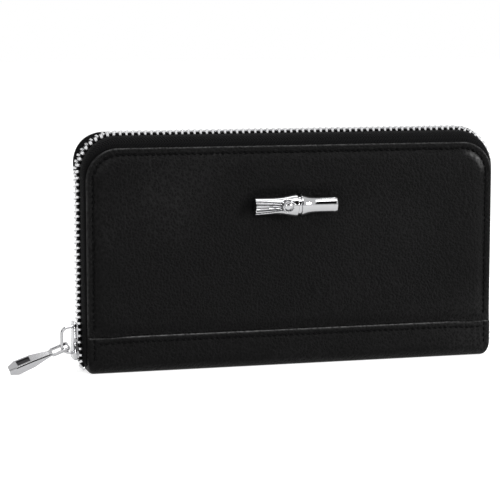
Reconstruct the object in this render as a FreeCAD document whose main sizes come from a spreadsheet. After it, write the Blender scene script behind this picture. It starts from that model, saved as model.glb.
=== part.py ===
"""Long zip-around wallet standing on its spine, one solid per separate piece.

Frame: millimetres, origin at the centre of the flat base, X along the width,
the front cover faces -Y, Z points up.  Pieces that exist on both sides are
drawn once for the front; the back copy is the same body turned half a turn
about Z.
"""
import FreeCAD, Part
import math
import os
import Sketcher

V = FreeCAD.Vector

SIZES = (
    # covers and the layers glued inside them, counted from the middle plane outwards
    ("cover_half", 93.0, "half width of a cover"),
    ("cover_top", 98.0, "height of a cover's upper edge"),
    ("cover_corner", 14.0, "radius of a cover's upper corners"),
    ("half_depth", 11.0, "outer face of a cover"),
    ("cover_leather", 1.2, "cover leather"),
    ("board", 0.6, "stiffener board, and the tape margin beside it"),
    ("board_inset", 7.0, "board edge inside the cover edge"),
    ("lining", 0.5, "inner lining"),
    ("lining_inset", 2.0, "lining edge inside the cover edge"),
    ("lining_foot", 6.0, "height of the lining's lower edge"),
    # base band and spine
    ("band_leather", 0.9, "base band leather"),
    ("band_top", 16.5, "height of the band's folded upper edge"),
    ("spine_round", 5.0, "outer radius of the spine, start of the front leg"),
    ("spine_board", 0.6, "stiffener board on the base"),
    ("spine_lining", 0.5, "lining on the base"),
    ("spine_board_inset", 3.0, "base stiffener ends inside the cover edges"),
    ("spine_lining_inset", 5.0, "base lining ends inside the cover edges"),
    ("spine_board_margin", 4.5, "base stiffener inside the covers' outer faces"),
    ("spine_lining_margin", 2.8, "base lining inside the covers' outer faces"),
    # card pockets
    ("pocket_leather", 0.3, "one card pocket strip"),
    ("pocket_inset", 2.0, "card pockets inside the page edges"),
    ("pocket_foot", 8.0, "lower edge of the card pockets"),
    ("pocket_drop", 10.0, "tallest strip below the cover's upper edge"),
    ("pocket_step", 12.0, "drop from one strip to the next"),
    ("pocket_corner", 4.0, "corner radius of a strip"),
    # pages and gussets
    ("page_inset", 14.0, "page edges inside the cover edges"),
    ("page_foot", 6.0, "lower edge of the pages"),
    ("divider_drop", 20.0, "dividers below the cover's upper edge"),
    ("divider_at", 3.03, "distance of a divider from the middle plane"),
    ("divider_leather", 0.5, "divider thickness"),
    ("page_corner", 5.0, "corner radius of the pages"),
    ("gusset_fabric", 1.9, "gusset fold measured along X"),
    ("gusset_gap", 0.3, "clearance from a page edge to its gusset fold"),
    ("gusset_inset", 4.0, "outer folds of the gussets inside the cover edges"),
    ("gusset_lap", 5.0, "gusset edge on the lining inside the outer folds"),
    ("gusset_hem", 0.6, "width of that edge"),
    # coin pocket
    ("coin_depth", 1.2, "outer face of a coin pocket wall"),
    ("coin_wall", 0.4, "coin pocket wall"),
    ("coin_drop", 18.0, "upper edge of the walls below the cover's upper edge"),
    ("coin_edge", 1.5, "bound edge between the walls"),
    ("coin_tape", 0.3, "coin zip tape"),
    ("coin_tape_lap", 6.0, "coin zip tape inside the walls"),
    ("coin_tape_out", 2.8, "outer face of the tape beside the chain"),
    ("coin_tape_rise", 5.0, "above the walls, the tape stands upright again"),
    ("coin_chain_rise", 8.0, "coin chain above the walls"),
    ("coin_inset", 13.0, "coin zip ends inside the page edges"),
    ("coin_row", 2.0, "root of a coin tooth"),
    ("coin_reach", 0.6, "coin tooth past the middle plane"),
    ("coin_tooth", 0.85, "coin tooth along the chain"),
    ("coin_pitch", 2.0, "coin tooth pitch"),
    ("coin_tall", 1.8, "coin tooth height"),
    ("coin_stop", 1.6, "coin zip stop length"),
    # main zip
    ("chain_beyond", 2.1, "chain line beyond the cover's side edges"),
    ("chain_above", 5.7, "chain line above the cover's upper edge"),
    ("chain_rounding", 3.0, "chain line's corner radius over the cover's"),
    ("tape", 0.6, "tape thickness"),
    ("tape_foot", 6.5, "lower end of the tape, start of the chain's tail"),
    ("tape_shoulder", 6.5, "where the tape turns towards the cover"),
    ("row_root", 2.9, "root of a tooth from the middle plane"),
    ("row_reach", 0.8, "tooth past the middle plane"),
    ("tooth_pitch", 2.75, "pitch within one row"),
    ("tooth_long", 1.2, "tooth along the chain"),
    ("tooth_tall", 2.4, "tooth height across the tape"),
    ("cord", 0.8, "cord that carries the teeth"),
    ("spread", 1.6, "how far each row parts below the slider's post"),
    ("spread_foot", 9.0, "rows fully parted below this height"),
    ("spread_head", 14.0, "rows closed above this height"),
    ("tail_radius", 6.0, "radius of the chain's tail into the spine"),
    ("tail_angle", 38.0, "angle of that tail"),
    ("stop_long", 1.4, "end stop along the chain"),
    ("stop_clear", 0.1, "clearance between the cord and its stop"),
    ("row_clear", 0.3, "clearance round the teeth"),
    # slider
    ("slider_drop", 1.0, "lower end of the slider below the tape's"),
    ("slider_long", 16.8, "slider length"),
    ("slider_gap", 1.5, "half gap between the slider plates"),
    ("slider_plate", 1.2, "slider plate"),
    ("flange", 0.75, "flange height"),
    ("flange_wide", 0.8, "flange width"),
    ("post_half", 0.6, "half width of the post"),
    ("post_foot", 0.5, "post above the slider's lower end"),
    ("post_long", 2.5, "post length"),
    ("bridge_wide", 2.0, "bridge strap width"),
    ("bridge_strap", 1.3, "bridge strap thickness"),
    ("bridge_out", 8.1, "bridge beyond the chain line"),
    ("bridge_foot", 2.6, "bridge above the slider's lower end"),
    ("bridge_head", 15.0, "upper end of the bridge"),
    ("bridge_bend", 2.1, "bevelled bends of the bridge"),
    # pull
    ("pull_out", 4.9, "pull pivot beyond the chain line"),
    ("pull_up", 6.1, "pull pivot above the slider's lower end"),
    ("pull_droop", 21.0, "resting angle below level"),
    ("pull_roll", 26.0, "resting roll about its own length"),
    ("pull_long", 27.4, "pivot to tip"),
    ("pull_half", 3.0, "half width of the far end"),
    ("pull_waist", 1.9, "half width behind the ring"),
    ("pull_thick", 4.2, "thickness at the far end"),
    ("ring_half", 2.5, "half width of the ring"),
    ("ring_thick", 1.4, "thickness of the ring"),
    ("ring_back", 0.7, "ring behind and before the pivot"),
    ("slot_half", 1.7, "half width of the slot"),
    ("slot_end", 7.1, "far end of the slot"),
    ("waist_at", 8.8, "pivot to the waist"),
    ("broad_at", 16.6, "pivot to the broad end"),
    ("tip_bevel", 3.2, "length of the bevels at the tip"),
    ("recess_long", 6.5, "shallow recess"),
    ("recess_wide", 3.2, "its width"),
    ("recess_deep", 0.3, "its depth"),
    ("recess_at", 16.9, "pivot to the recess"),
    # bar ornament
    ("bar_x", -0.7, "middle of the bar"),
    ("bar_z", 71.75, "height of the bar"),
    ("bar_half", 19.0, "half length"),
    ("bar_left", 4.15, "radius at the left end"),
    ("bar_right", 3.75, "radius at the right end"),
    ("bar_waist", 3.5, "radius at the waists"),
    ("node_radius", 5.6, "radius of the two node rings"),
    ("node_groove", 4.9, "radius of the groove between them"),
    ("node_neck", 4.2, "radius beside the node"),
    ("bar_rim", 0.6, "bevel at the ends"),
    ("bar_seat", 2.6, "axis in front of the leather"),
    ("boss_x", -4.8, "round boss from the bar's middle"),
    ("boss_radius", 2.3, "boss radius"),
    ("boss_out", 5.0, "boss beyond the axis"),
    ("post_pitch", 12.0, "fixing posts from the bar's middle"),
    ("post_radius", 1.25, "fixing post radius"),
    ("post_clear", 0.3, "clearance round a post"),
    ("plate_half", 16.5, "half length of the backing plate"),
    ("plate_tall", 3.5, "half height of the backing plate"),
    ("window_clear", 0.5, "board window round the backing plate"),
    # coin slider and pull, along X from the slider's left end
    ("coin_slider_long", 8.0, "coin slider length"),
    ("coin_gap", 1.2, "half gap between its plates"),
    ("coin_plate", 0.8, "coin slider plate"),
    ("coin_slider_wide", 2.2, "half width of its plates"),
    ("coin_post_long", 1.4, "its post"),
    ("coin_post_half", 0.45, "half width of its post"),
    ("coin_bridge_foot", 1.6, "bridge start"),
    ("coin_bridge_long", 5.0, "bridge length"),
    ("coin_bridge_tall", 2.4, "bridge height above the plate"),
    ("coin_strap", 0.7, "bridge strap"),
    ("coin_bridge_wide", 1.4, "bridge width"),
    ("coin_pivot", 5.3, "pull pivot along the slider"),
    ("coin_pull_long", 11.0, "pivot to tip"),
    ("coin_pull_half", 1.75, "half width of the coin pull"),
    ("coin_pull_thick", 0.7, "coin pull thickness"),
    ("coin_slot_half", 1.05, "half width of its slot"),
    ("coin_slot_end", 4.2, "far end of its slot"),
)

doc = FreeCAD.newDocument("wallet")
sheet = doc.addObject("Spreadsheet::Sheet", "Sizes")
for row, (name, value, note) in enumerate(SIZES, start=1):
    sheet.set(f"A{row}", name)
    sheet.set(f"B{row}", str(value))
    sheet.set(f"C{row}", note)
    sheet.setAlias(f"B{row}", name)
doc.recompute()

SUMS = {
    "page_half": "cover_half - page_inset",
    "pocket_half": "cover_half - page_inset - pocket_inset",
    "pocket_top": "cover_top - pocket_drop",
    "divider_top": "cover_top - divider_drop",
    "spine_board_half": "cover_half - spine_board_inset",
    "spine_board_wide": "half_depth - spine_board_margin",
    "spine_lining_half": "cover_half - spine_lining_inset",
    "spine_lining_wide": "half_depth - spine_lining_margin",
    "gusset_in": "cover_half - page_inset + gusset_gap",
    "gusset_out": "cover_half - gusset_inset",
    "gusset_root": "cover_half - gusset_inset - gusset_lap",
    "coin_top": "cover_top - coin_drop",
    "coin_tape_foot": "cover_top - coin_drop - coin_tape_lap",
    "coin_flare": "cover_top - coin_drop + coin_tape_rise",
    "coin_chain": "cover_top - coin_drop + coin_chain_rise",
    "coin_half": "cover_half - page_inset - coin_inset",
    "chain_half": "cover_half + chain_beyond",
    "chain_top": "cover_top + chain_above",
    "chain_corner": "cover_corner + chain_rounding",
    "slider_foot": "tape_foot - slider_drop",
}
ALIASES = {name: f"Sizes.{name}" for name, _, _ in SIZES}
NODES = []


def bound(text):
    """Turn a sum of size names into an expression on the sheet."""
    words = []
    for word in text.split():
        words.append(f"( {bound(SUMS[word])} )" if word in SUMS else ALIASES.get(word, word))
    return " ".join(words)


def number(text):
    """Present value of a sum of size names."""
    return float(sheet.evalExpression(bound(text)))


def new_body(label, x="0", y="0", z="0", rotation=FreeCAD.Rotation()):
    """Start the body of one node at its own place."""
    body = doc.addObject("PartDesign::Body", label)
    body.Placement = FreeCAD.Placement(V(), rotation)
    place(body, x, y, z)
    return body


def place(item, x, y, z):
    """Name the node after its object and bind its place to the sheet."""
    item.Label = item.Name
    for axis, text in zip("xyz", (x, y, z)):
        item.setExpression(f"Placement.Base.{axis}", bound(text))
    NODES.append(item)


def side_body(label, side, inner="0", z="0"):
    """Body of a piece that exists on both sides, `inner` from the middle plane."""
    if side == "front":
        return new_body(f"{side}_{label}", y=f"0 - ( {inner} )", z=z)
    return new_body(f"{side}_{label}", y=inner, z=z, rotation=HALF_TURN)


HALF_TURN = FreeCAD.Rotation(V(0, 0, 1), 180)


def add_sketch(body, plane, depth="0"):
    """Sketch on one of the body's own origin planes, `depth` along its normal."""
    sketch = body.newObject("Sketcher::SketchObject", f"{body.Name}_sketch")
    support = next(item for item in body.Origin.OriginFeatures if item.Role == plane)
    sketch.AttachmentSupport = (support, [""])
    sketch.MapMode = "FlatFace"
    sketch.setExpression("AttachmentOffset.Base.z", bound(depth))
    return sketch


def dimension(sketch, rules):
    """Add driving dimensions, each (kind, references, sum of size names)."""
    for kind, references, text in rules:
        index = sketch.addConstraint(Sketcher.Constraint(kind, *references, number(text)))
        sketch.setExpression(f"Constraints[{index}]", bound(text))


def polygon(sketch, corners):
    """Closed outline whose corners are (x, y) sums of size names."""
    first = sketch.GeometryCount
    count = len(corners)
    points = [V(number(x), number(y), 0) for x, y in corners]
    sides = [Part.LineSegment(points[k], points[(k + 1) % count]) for k in range(count)]
    sketch.addGeometry(sides, False)
    joints = [Sketcher.Constraint("Coincident", first + k, 2, first + (k + 1) % count, 1)
              for k in range(count)]
    sketch.addConstraint(joints)
    for k, (x, y) in enumerate(corners):
        dimension(sketch, (("DistanceX", (-1, 1, first + k, 1), x),
                           ("DistanceY", (-1, 1, first + k, 1), y)))


def rectangle(sketch, left, right, low, high):
    """Closed rectangle between four sums of size names."""
    polygon(sketch, ((left, low), (right, low), (right, high), (left, high)))


def circle(sketch, x, y, radius):
    """Circle with its centre and radius bound to the sheet."""
    centre = V(number(x), number(y), 0)
    index = sketch.addGeometry(Part.Circle(centre, V(0, 0, 1), number(radius)), False)
    dimension(sketch, (("Radius", (index,), radius),
                       ("DistanceX", (-1, 1, index, 3), x),
                       ("DistanceY", (-1, 1, index, 3), y)))


def arch(sketch, half, top, corner):
    """Open arch standing on the sketch's X axis; returns its right and left legs."""
    wide, high, round_ = number(half), number(top), number(corner)
    up = V(0, 0, 1)
    right = sketch.GeometryCount
    bend_right = Part.Circle(V(wide - round_, high - round_, 0), up, round_)
    bend_left = Part.Circle(V(round_ - wide, high - round_, 0), up, round_)
    sketch.addGeometry([
        Part.LineSegment(V(wide, 0, 0), V(wide, high - round_, 0)),
        Part.ArcOfCircle(bend_right, 0, math.pi / 2),
        Part.LineSegment(V(wide - round_, high, 0), V(round_ - wide, high, 0)),
        Part.ArcOfCircle(bend_left, math.pi / 2, math.pi),
        Part.LineSegment(V(-wide, high - round_, 0), V(-wide, 0, 0)),
    ], False)
    left = right + 4
    rules = [Sketcher.Constraint("Tangent", right + k, 2, right + k + 1, 1) for k in range(4)]
    rules += [Sketcher.Constraint("Vertical", right),
              Sketcher.Constraint("Vertical", left),
              Sketcher.Constraint("Horizontal", right + 2),
              Sketcher.Constraint("Equal", right + 1, right + 3),
              Sketcher.Constraint("PointOnObject", right, 1, -1),
              Sketcher.Constraint("PointOnObject", left, 2, -1)]
    sketch.addConstraint(rules)
    dimension(sketch, (("Radius", (right + 1,), corner),
                       ("DistanceX", (-1, 1, right, 1), half),
                       ("DistanceX", (-1, 1, left, 2), f"0 - ( {half} )"),
                       ("DistanceY", (-1, 1, right + 2, 1), top)))
    return right, left


def join(sketch, start, end):
    """Close a gap between two (line, end) points with a straight line."""
    line = Part.LineSegment(sketch.getPoint(*start), sketch.getPoint(*end))
    index = sketch.addGeometry(line, False)
    sketch.addConstraint([Sketcher.Constraint("Coincident", *start, index, 1),
                          Sketcher.Constraint("Coincident", *end, index, 2)])


def arch_leaf(sketch, half, top, corner):
    """Closed leaf: an arch with a straight lower edge."""
    right, left = arch(sketch, half, top, corner)
    join(sketch, (left, 2), (right, 1))


def arch_band(sketch, half, top, corner, wide):
    """Closed band of one width that follows an arch inwards."""
    outer_right, outer_left = arch(sketch, half, top, corner)
    inner = [f"{text} - {wide}" for text in (half, top, corner)]
    inner_right, inner_left = arch(sketch, *inner)
    join(sketch, (inner_right, 1), (outer_right, 1))
    join(sketch, (outer_left, 2), (inner_left, 2))


def extrude(body, sketch, length, kind="Pad", both_ways=False):
    """Pad or pocket a sketch by a bound length and make it the tip."""
    feature = body.newObject(f"PartDesign::{kind}", f"{body.Name}_{kind}")
    feature.Profile = sketch
    feature.setExpression("Length", bound(length))
    if both_ways:
        feature.SideType = "Symmetric"
    body.Tip = feature
    return feature


def add_leaf(label, side, inner, thick, foot, half, top, corner):
    """Flat leaf on one side; returns its sketch for holes."""
    body = side_body(label, side, inner, z=foot)
    sketch = add_sketch(body, "XZ_Plane")
    arch_leaf(sketch, half, f"{top} - {foot}", corner)
    extrude(body, sketch, thick)
    return sketch


def add_box(body, plane, ranges, length, depth="0", both_ways=False):
    """Pad one rectangle of a body."""
    sketch = add_sketch(body, plane, depth)
    rectangle(sketch, *ranges)
    extrude(body, sketch, length, both_ways=both_ways)


def add_shape(label, shape, x="0", y="0", z="0", rotation=FreeCAD.Rotation()):
    """Node for a row of teeth, whose repeats run along a curved line."""
    item = doc.addObject("Part::Feature", label)
    item.Shape = shape
    item.Placement = FreeCAD.Placement(V(), rotation)
    place(item, x, y, z)


def add_cover_stack(side):
    """Cover, board, lining and the four card pocket strips of one side."""
    cover = add_leaf("cover", side, "half_depth - cover_leather", "cover_leather",
                     "spine_round", "cover_half", "cover_top", "cover_corner")
    board = add_leaf("board", side, "half_depth - cover_leather - board", "board",
                     "lining_foot", "cover_half - board_inset", "cover_top - board_inset",
                     "cover_corner - board_inset")
    add_leaf("lining", side, "half_depth - cover_leather - board - lining", "lining",
             "lining_foot", "cover_half - lining_inset", "cover_top - lining_inset",
             "cover_corner - lining_inset")
    for level in range(1, 5):
        add_leaf(f"card_pocket_{level}", side,
                 f"half_depth - cover_leather - board - lining - {level} * pocket_leather",
                 "pocket_leather", "pocket_foot", "pocket_half",
                 f"pocket_top - {level - 1} * pocket_step", "pocket_corner")
    return cover, board


def add_base():
    """Leather band round the spine, its front leg, and the layers on the base."""
    body = new_body("base_band")
    sketch = add_sketch(body, "YZ_Plane")
    back = sketch.addGeometry(band_section(), False)[0]
    constrain_band(sketch, back)
    extrude(body, sketch, "2 * cover_half", both_ways=True)

    leg = new_body("front_band")
    add_box(leg, "YZ_Plane",
            ("0 - half_depth - band_leather", "0 - half_depth", "spine_round", "band_top"),
            "2 * cover_half", both_ways=True)

    layers = (("spine_board", "spine_board_wide", "spine_board_half", "band_leather"),
              ("spine_lining", "spine_lining_wide", "spine_lining_half",
               "band_leather + spine_board"))
    for label, wide, half, foot in layers:
        add_box(new_body(label, z=foot), "YZ_Plane",
                (f"0 - {wide}", wide, "0", label), f"2 * {half}", both_ways=True)


def band_section():
    """Outer then inner line of the band, from the front corner to the back edge."""
    deep = number("half_depth + band_leather")
    thick = number("band_leather")
    round_ = number("spine_round")
    top = number("band_top")
    centre = deep - round_
    normal = V(0, 0, 1)
    parts = []
    for inset in (0.0, thick):
        radius = round_ - inset
        front = Part.Circle(V(-centre, round_, 0), normal, radius)
        rear = Part.Circle(V(centre, round_, 0), normal, radius)
        parts += [Part.ArcOfCircle(front, math.pi, 1.5 * math.pi),
                  Part.LineSegment(V(-centre, inset, 0), V(centre, inset, 0)),
                  Part.ArcOfCircle(rear, 1.5 * math.pi, 2 * math.pi),
                  Part.LineSegment(V(deep - inset, round_, 0), V(deep - inset, top, 0))]
    return parts


def constrain_band(sketch, first):
    """Tie the band's section to the sheet."""
    for start, inset in ((first, "0"), (first + 4, "band_leather")):
        front, flat, rear, leg = range(start, start + 4)
        sketch.addConstraint([Sketcher.Constraint("Tangent", front, 2, flat, 1),
                              Sketcher.Constraint("Tangent", flat, 2, rear, 1),
                              Sketcher.Constraint("Tangent", rear, 2, leg, 1),
                              Sketcher.Constraint("Horizontal", flat),
                              Sketcher.Constraint("Vertical", leg),
                              Sketcher.Constraint("Horizontal", front, 1, front, 3)])
        dimension(sketch, (
            ("Radius", (front,), f"spine_round - {inset}"),
            ("Radius", (rear,), f"spine_round - {inset}"),
            ("DistanceX", (-1, 1, front, 1), f"0 - ( half_depth + band_leather - {inset} )"),
            ("DistanceX", (-1, 1, leg, 2), f"half_depth + band_leather - {inset}"),
            ("DistanceY", (-1, 1, flat, 1), inset),
            ("DistanceY", (-1, 1, leg, 2), "band_top")))
    join(sketch, (first + 4, 1), (first, 1))
    join(sketch, (first + 3, 2), (first + 7, 2))


def add_gusset(label, sign):
    """Accordion gusset: outer folds free, inner folds at the page edges."""
    lining = "half_depth - cover_leather - board - lining"
    folds = (("gusset_out", f"( {lining} + divider_at ) / 2"),
             ("gusset_in", "divider_at"),
             ("gusset_out", "divider_at / 2"),
             ("gusset_in", "0"))
    folds += tuple((x, f"0 - ( {y} )") for x, y in reversed(folds[:3]))
    outside = [("gusset_root + gusset_hem", lining)]
    inside = [("gusset_root", lining)]
    for x, y in folds:
        outer = x == "gusset_out"
        outside.append((x if outer else f"{x} + gusset_fabric", y))
        inside.append((f"{x} - gusset_fabric" if outer else x, y))
    outside.append(("gusset_root + gusset_hem", f"0 - ( {lining} )"))
    inside.append(("gusset_root", f"0 - ( {lining} )"))
    body = new_body(label, z="page_foot")
    sketch = add_sketch(body, "XY_Plane")
    polygon(sketch, [(f"{sign} * ( {x} )", y) for x, y in outside + inside[::-1]])
    extrude(body, sketch, "pocket_top - page_foot")


def add_tape(side):
    """Zip tape: margin under the cover edge, slope, and the flat run to the teeth."""
    body = side_body("tape", side, z="tape_foot")
    skin = "half_depth - cover_leather - board"
    cover = ("cover_half", "cover_top - tape_foot", "cover_corner")
    chain = ("chain_half + tape / 2", "chain_top - tape_foot + tape / 2", "chain_corner + tape / 2")

    margin = add_sketch(body, "XZ_Plane", skin)
    arch_band(margin, *cover, "board_inset")
    extrude(body, margin, "board")

    slope = body.newObject("PartDesign::AdditiveLoft", f"{body.Name}_slope")
    rings = []
    for depth, line in (("tape_shoulder", chain), (skin, cover)):
        ring = add_sketch(body, "XZ_Plane", depth)
        arch_band(ring, *line, "tape")
        rings.append(ring)
    slope.Profile = rings[0]
    slope.Sections = [rings[1]]
    slope.Ruled = True
    body.Tip = slope

    flat = add_sketch(body, "XZ_Plane", "row_root")
    arch_band(flat, *chain, "tape")
    extrude(body, flat, "tape_shoulder - row_root")

    parting = add_sketch(body, "YZ_Plane")
    polygon(parting, (("0 - row_root - spread - row_clear", "0 - board"),
                      ("0 - row_root - spread - row_clear", "spread_foot - tape_foot"),
                      ("0 - row_root - row_clear", "spread_head - tape_foot"),
                      ("0 - row_root - row_clear", "spread_head + tooth_long - tape_foot"),
                      ("0 - row_root + cord", "spread_head + tooth_long - tape_foot"),
                      ("0 - row_root + cord", "0 - board")))
    extrude(body, parting, "2 * chain_half + 4 * tape", kind="Pocket", both_ways=True)


class ChainLine:
    """The line of the closed chain, measured both ways from the top middle."""

    def __init__(self):
        self.half = number("chain_half")
        self.top = number("chain_top")
        self.corner = number("chain_corner")
        self.foot = number("tape_foot")
        self.tail = number("tail_radius")
        self.level = self.half - self.corner
        self.bend = self.level + self.corner * math.pi / 2
        self.straight = self.bend + self.top - self.corner - self.foot
        self.end = self.straight + self.tail * math.radians(number("tail_angle"))

    def at(self, distance):
        """Point (x, z) and outward direction (x, z) at a signed distance."""
        sign = math.copysign(1.0, distance)
        run = abs(distance)
        if run <= self.level:
            x, z, turn = run, self.top, 0.0
        elif run <= self.bend:
            turn = (run - self.level) / self.corner
            x = self.level + self.corner * math.sin(turn)
            z = self.top - self.corner + self.corner * math.cos(turn)
        elif run <= self.straight:
            x, z, turn = self.half, self.foot + self.straight - run, math.pi / 2
        else:
            turn = math.pi / 2 + (run - self.straight) / self.tail
            x = self.half - self.tail + self.tail * math.sin(turn)
            z = self.foot + self.tail * math.cos(turn)
        return sign * x, z, sign * math.sin(turn), math.cos(turn)

    def parting(self, distance):
        """How far a row stands away from its closed place."""
        height = self.at(distance)[1]
        foot, head = number("spread_foot"), number("spread_head")
        share = min(1.0, max(0.0, (head - height) / (head - foot)))
        return number("spread") * share if abs(distance) > self.bend else 0.0

    def breaks(self):
        """Signed distances where the cord bends, from left to right."""
        steps = 8
        marks = [self.level + k * (self.bend - self.level) / steps for k in range(steps + 1)]
        for height in (number("spread_head"), number("spread_foot")):
            marks.append(self.straight - (height - self.foot))
        marks += [self.straight, (self.straight + self.end) / 2, self.end]
        return [-mark for mark in reversed(marks)] + marks


def tooth_box(line, distance, long, root, reach, tall):
    """One upright tooth or stop at a place on the chain line, front row."""
    x, z, out_x, out_z = line.at(distance)
    away = line.parting(distance)
    box = Part.makeBox(long, root + reach, tall, V(-long / 2, -root - away, -tall / 2))
    turn = math.degrees(math.atan2(out_x, out_z))
    place_on_line = FreeCAD.Placement(V(x, 0, z), FreeCAD.Rotation(V(0, 1, 0), turn))
    return box.transformed(place_on_line.toMatrix(), copy=True)


def cord_solid(line):
    """Square cord along the front row's root, flat faces only."""
    side = number("cord")
    root = number("row_root")
    rings = []
    for distance in line.breaks():
        x, z, out_x, out_z = line.at(distance)
        back = -root - line.parting(distance)
        ring = []
        for out, y in ((-0.5, back), (0.5, back), (0.5, back + side), (-0.5, back + side)):
            ring.append(V(x + out * side * out_x, y, z + out * side * out_z))
        rings.append(ring)
    faces = [polygon_face(rings[0]), polygon_face(rings[-1])]
    for one, two in zip(rings, rings[1:]):
        for k in range(4):
            n = (k + 1) % 4
            faces.append(polygon_face([one[k], one[n], two[n], two[k]]))
    solid = Part.Solid(Part.Shell(faces))
    if solid.Volume < 0:
        solid.reverse()
    return solid


def polygon_face(points):
    """Flat face through a ring of points."""
    return Part.Face(Part.makePolygon(points + points[:1]))


def add_chain():
    """Both rows of teeth and their four end stops."""
    line = ChainLine()
    pitch = number("tooth_pitch")
    long = number("tooth_long")
    root, reach = number("row_root"), number("row_reach")
    tall = number("tooth_tall")
    count = int((line.end - long) / pitch)
    teeth = [tooth_box(line, (k + 0.25) * pitch, long, root, reach, tall)
             for k in range(-count, count)]
    row = cord_solid(line).multiFuse(teeth).removeSplitter()
    stop = number("stop_long")
    stop_at = line.end + number("stop_clear") + stop / 2
    for side, rotation, signs in (("front", FreeCAD.Rotation(), (-1, 1)),
                                  ("back", HALF_TURN, (1, -1))):
        add_shape(f"{side}_teeth", row, rotation=rotation)
        for name, sign in zip(("left", "right"), signs):
            clamp = tooth_box(line, sign * stop_at, stop, root, 0.0, tall)
            add_shape(f"{side}_stop_{name}", clamp, rotation=rotation)


def add_divider(side):
    """Leather divider between two bill compartments."""
    add_leaf("divider", side, "divider_at - divider_leather / 2", "divider_leather",
             "page_foot", "page_half", "divider_top", "page_corner")


def add_coin_pocket():
    """Walls, bound edge, tapes, teeth and stops of the middle pocket."""
    for side in ("front", "back"):
        add_leaf("coin_wall", side, "coin_depth - coin_wall", "coin_wall",
                 "page_foot", "page_half", "coin_top", "page_corner")
        body = side_body("coin_tape", side)
        sketch = add_sketch(body, "YZ_Plane")
        inner = "coin_depth - coin_wall"
        polygon(sketch, [(f"0 - ( {y} )", z) for y, z in (
            (f"{inner} - coin_tape", "coin_tape_foot"),
            (inner, "coin_tape_foot"),
            (inner, "coin_top"),
            ("coin_tape_out", "coin_flare"),
            ("coin_tape_out", "coin_chain + coin_tape / 2"),
            ("coin_row", "coin_chain + coin_tape / 2"),
            ("coin_row", "coin_chain - coin_tape / 2"),
            ("coin_tape_out - coin_tape", "coin_chain - coin_tape / 2"),
            ("coin_tape_out - coin_tape", "coin_flare + coin_tape / 2"),
            (f"{inner} - coin_tape", "coin_top + coin_tape / 2"))])
        extrude(body, sketch, "2 * coin_half + 4 * coin_stop", both_ways=True)

    binding = new_body("coin_binding", z="page_foot")
    for low, high, left, right in (
            ("0", "coin_edge", "0 - page_half", "page_half"),
            ("coin_edge", "coin_top - page_foot - page_corner",
             "0 - page_half", "0 - page_half + coin_edge"),
            ("coin_edge", "coin_top - page_foot - page_corner",
             "page_half - coin_edge", "page_half")):
        add_box(binding, "XZ_Plane", (left, right, low, high),
                "2 * ( coin_depth - coin_wall )", both_ways=True)

    row = coin_row()
    add_shape("front_coin_teeth", row, z="coin_chain")
    add_shape("back_coin_teeth", row, z="coin_chain", rotation=HALF_TURN)
    for name, sign in (("left", "-1"), ("right", "1")):
        body = new_body(f"coin_stop_{name}", x=f"{sign} * ( coin_half + coin_stop )")
        add_box(body, "YZ_Plane",
                ("0 - coin_row", "coin_row",
                 "coin_chain - coin_tall / 2", "coin_chain + coin_tall / 2"),
                "coin_stop", both_ways=True)


def coin_row():
    """Front row of the coin zip as one comb."""
    half = number("coin_half")
    start = half - number("coin_slider_long") / 2
    pitch = number("coin_pitch")
    long, tall = number("coin_tooth"), number("coin_tall")
    root, reach = number("coin_row"), number("coin_reach")
    cord = number("coin_tape")
    count = int((start - long) / pitch)
    comb = Part.makeBox(2 * start, cord, cord, V(-start, -root, -cord / 2))
    teeth = [Part.makeBox(long, root + reach, tall,
                          V((k + 0.25) * pitch - long / 2, -root, -tall / 2))
             for k in range(-count, count)]
    return comb.multiFuse(teeth).removeSplitter()


def add_coin_slider():
    """Coin slider, its bridge and its pull, closed at the left end."""
    start = "0 - coin_half"
    body = new_body("coin_slider_body", x=start, z="coin_chain")
    wide = ("0 - coin_slider_wide", "coin_slider_wide")
    for low, high in (("coin_gap", "coin_gap + coin_plate"),
                      ("0 - coin_gap - coin_plate", "0 - coin_gap")):
        add_box(body, "YZ_Plane", (*wide, low, high), "coin_slider_long")
    add_box(body, "YZ_Plane", ("0 - coin_post_half", "coin_post_half",
                               "0 - coin_gap", "coin_gap"), "coin_post_long")

    bridge = new_body("coin_slider_bridge", x=f"{start} + coin_bridge_foot",
                      z="coin_chain + coin_gap + coin_plate")
    sketch = add_sketch(bridge, "XZ_Plane")
    polygon(sketch, (("0", "0"), ("coin_strap", "0"),
                     ("coin_strap", "coin_bridge_tall - coin_strap"),
                     ("coin_bridge_long - coin_strap", "coin_bridge_tall - coin_strap"),
                     ("coin_bridge_long - coin_strap", "0"), ("coin_bridge_long", "0"),
                     ("coin_bridge_long", "coin_bridge_tall"), ("0", "coin_bridge_tall")))
    extrude(bridge, sketch, "coin_bridge_wide", both_ways=True)

    pull = new_body("coin_pull", x=f"{start} + coin_pivot",
                    z="coin_chain + coin_gap + coin_plate + ( coin_bridge_tall - coin_strap ) / 2")
    sketch = add_sketch(pull, "XY_Plane")
    rectangle(sketch, "0 - coin_pull_thick / 2", "coin_pull_long",
              "0 - coin_pull_half", "coin_pull_half")
    rectangle(sketch, "coin_pull_thick / 2", "coin_slot_end",
              "0 - coin_slot_half", "coin_slot_half")
    extrude(pull, sketch, "coin_pull_thick", both_ways=True)


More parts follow.
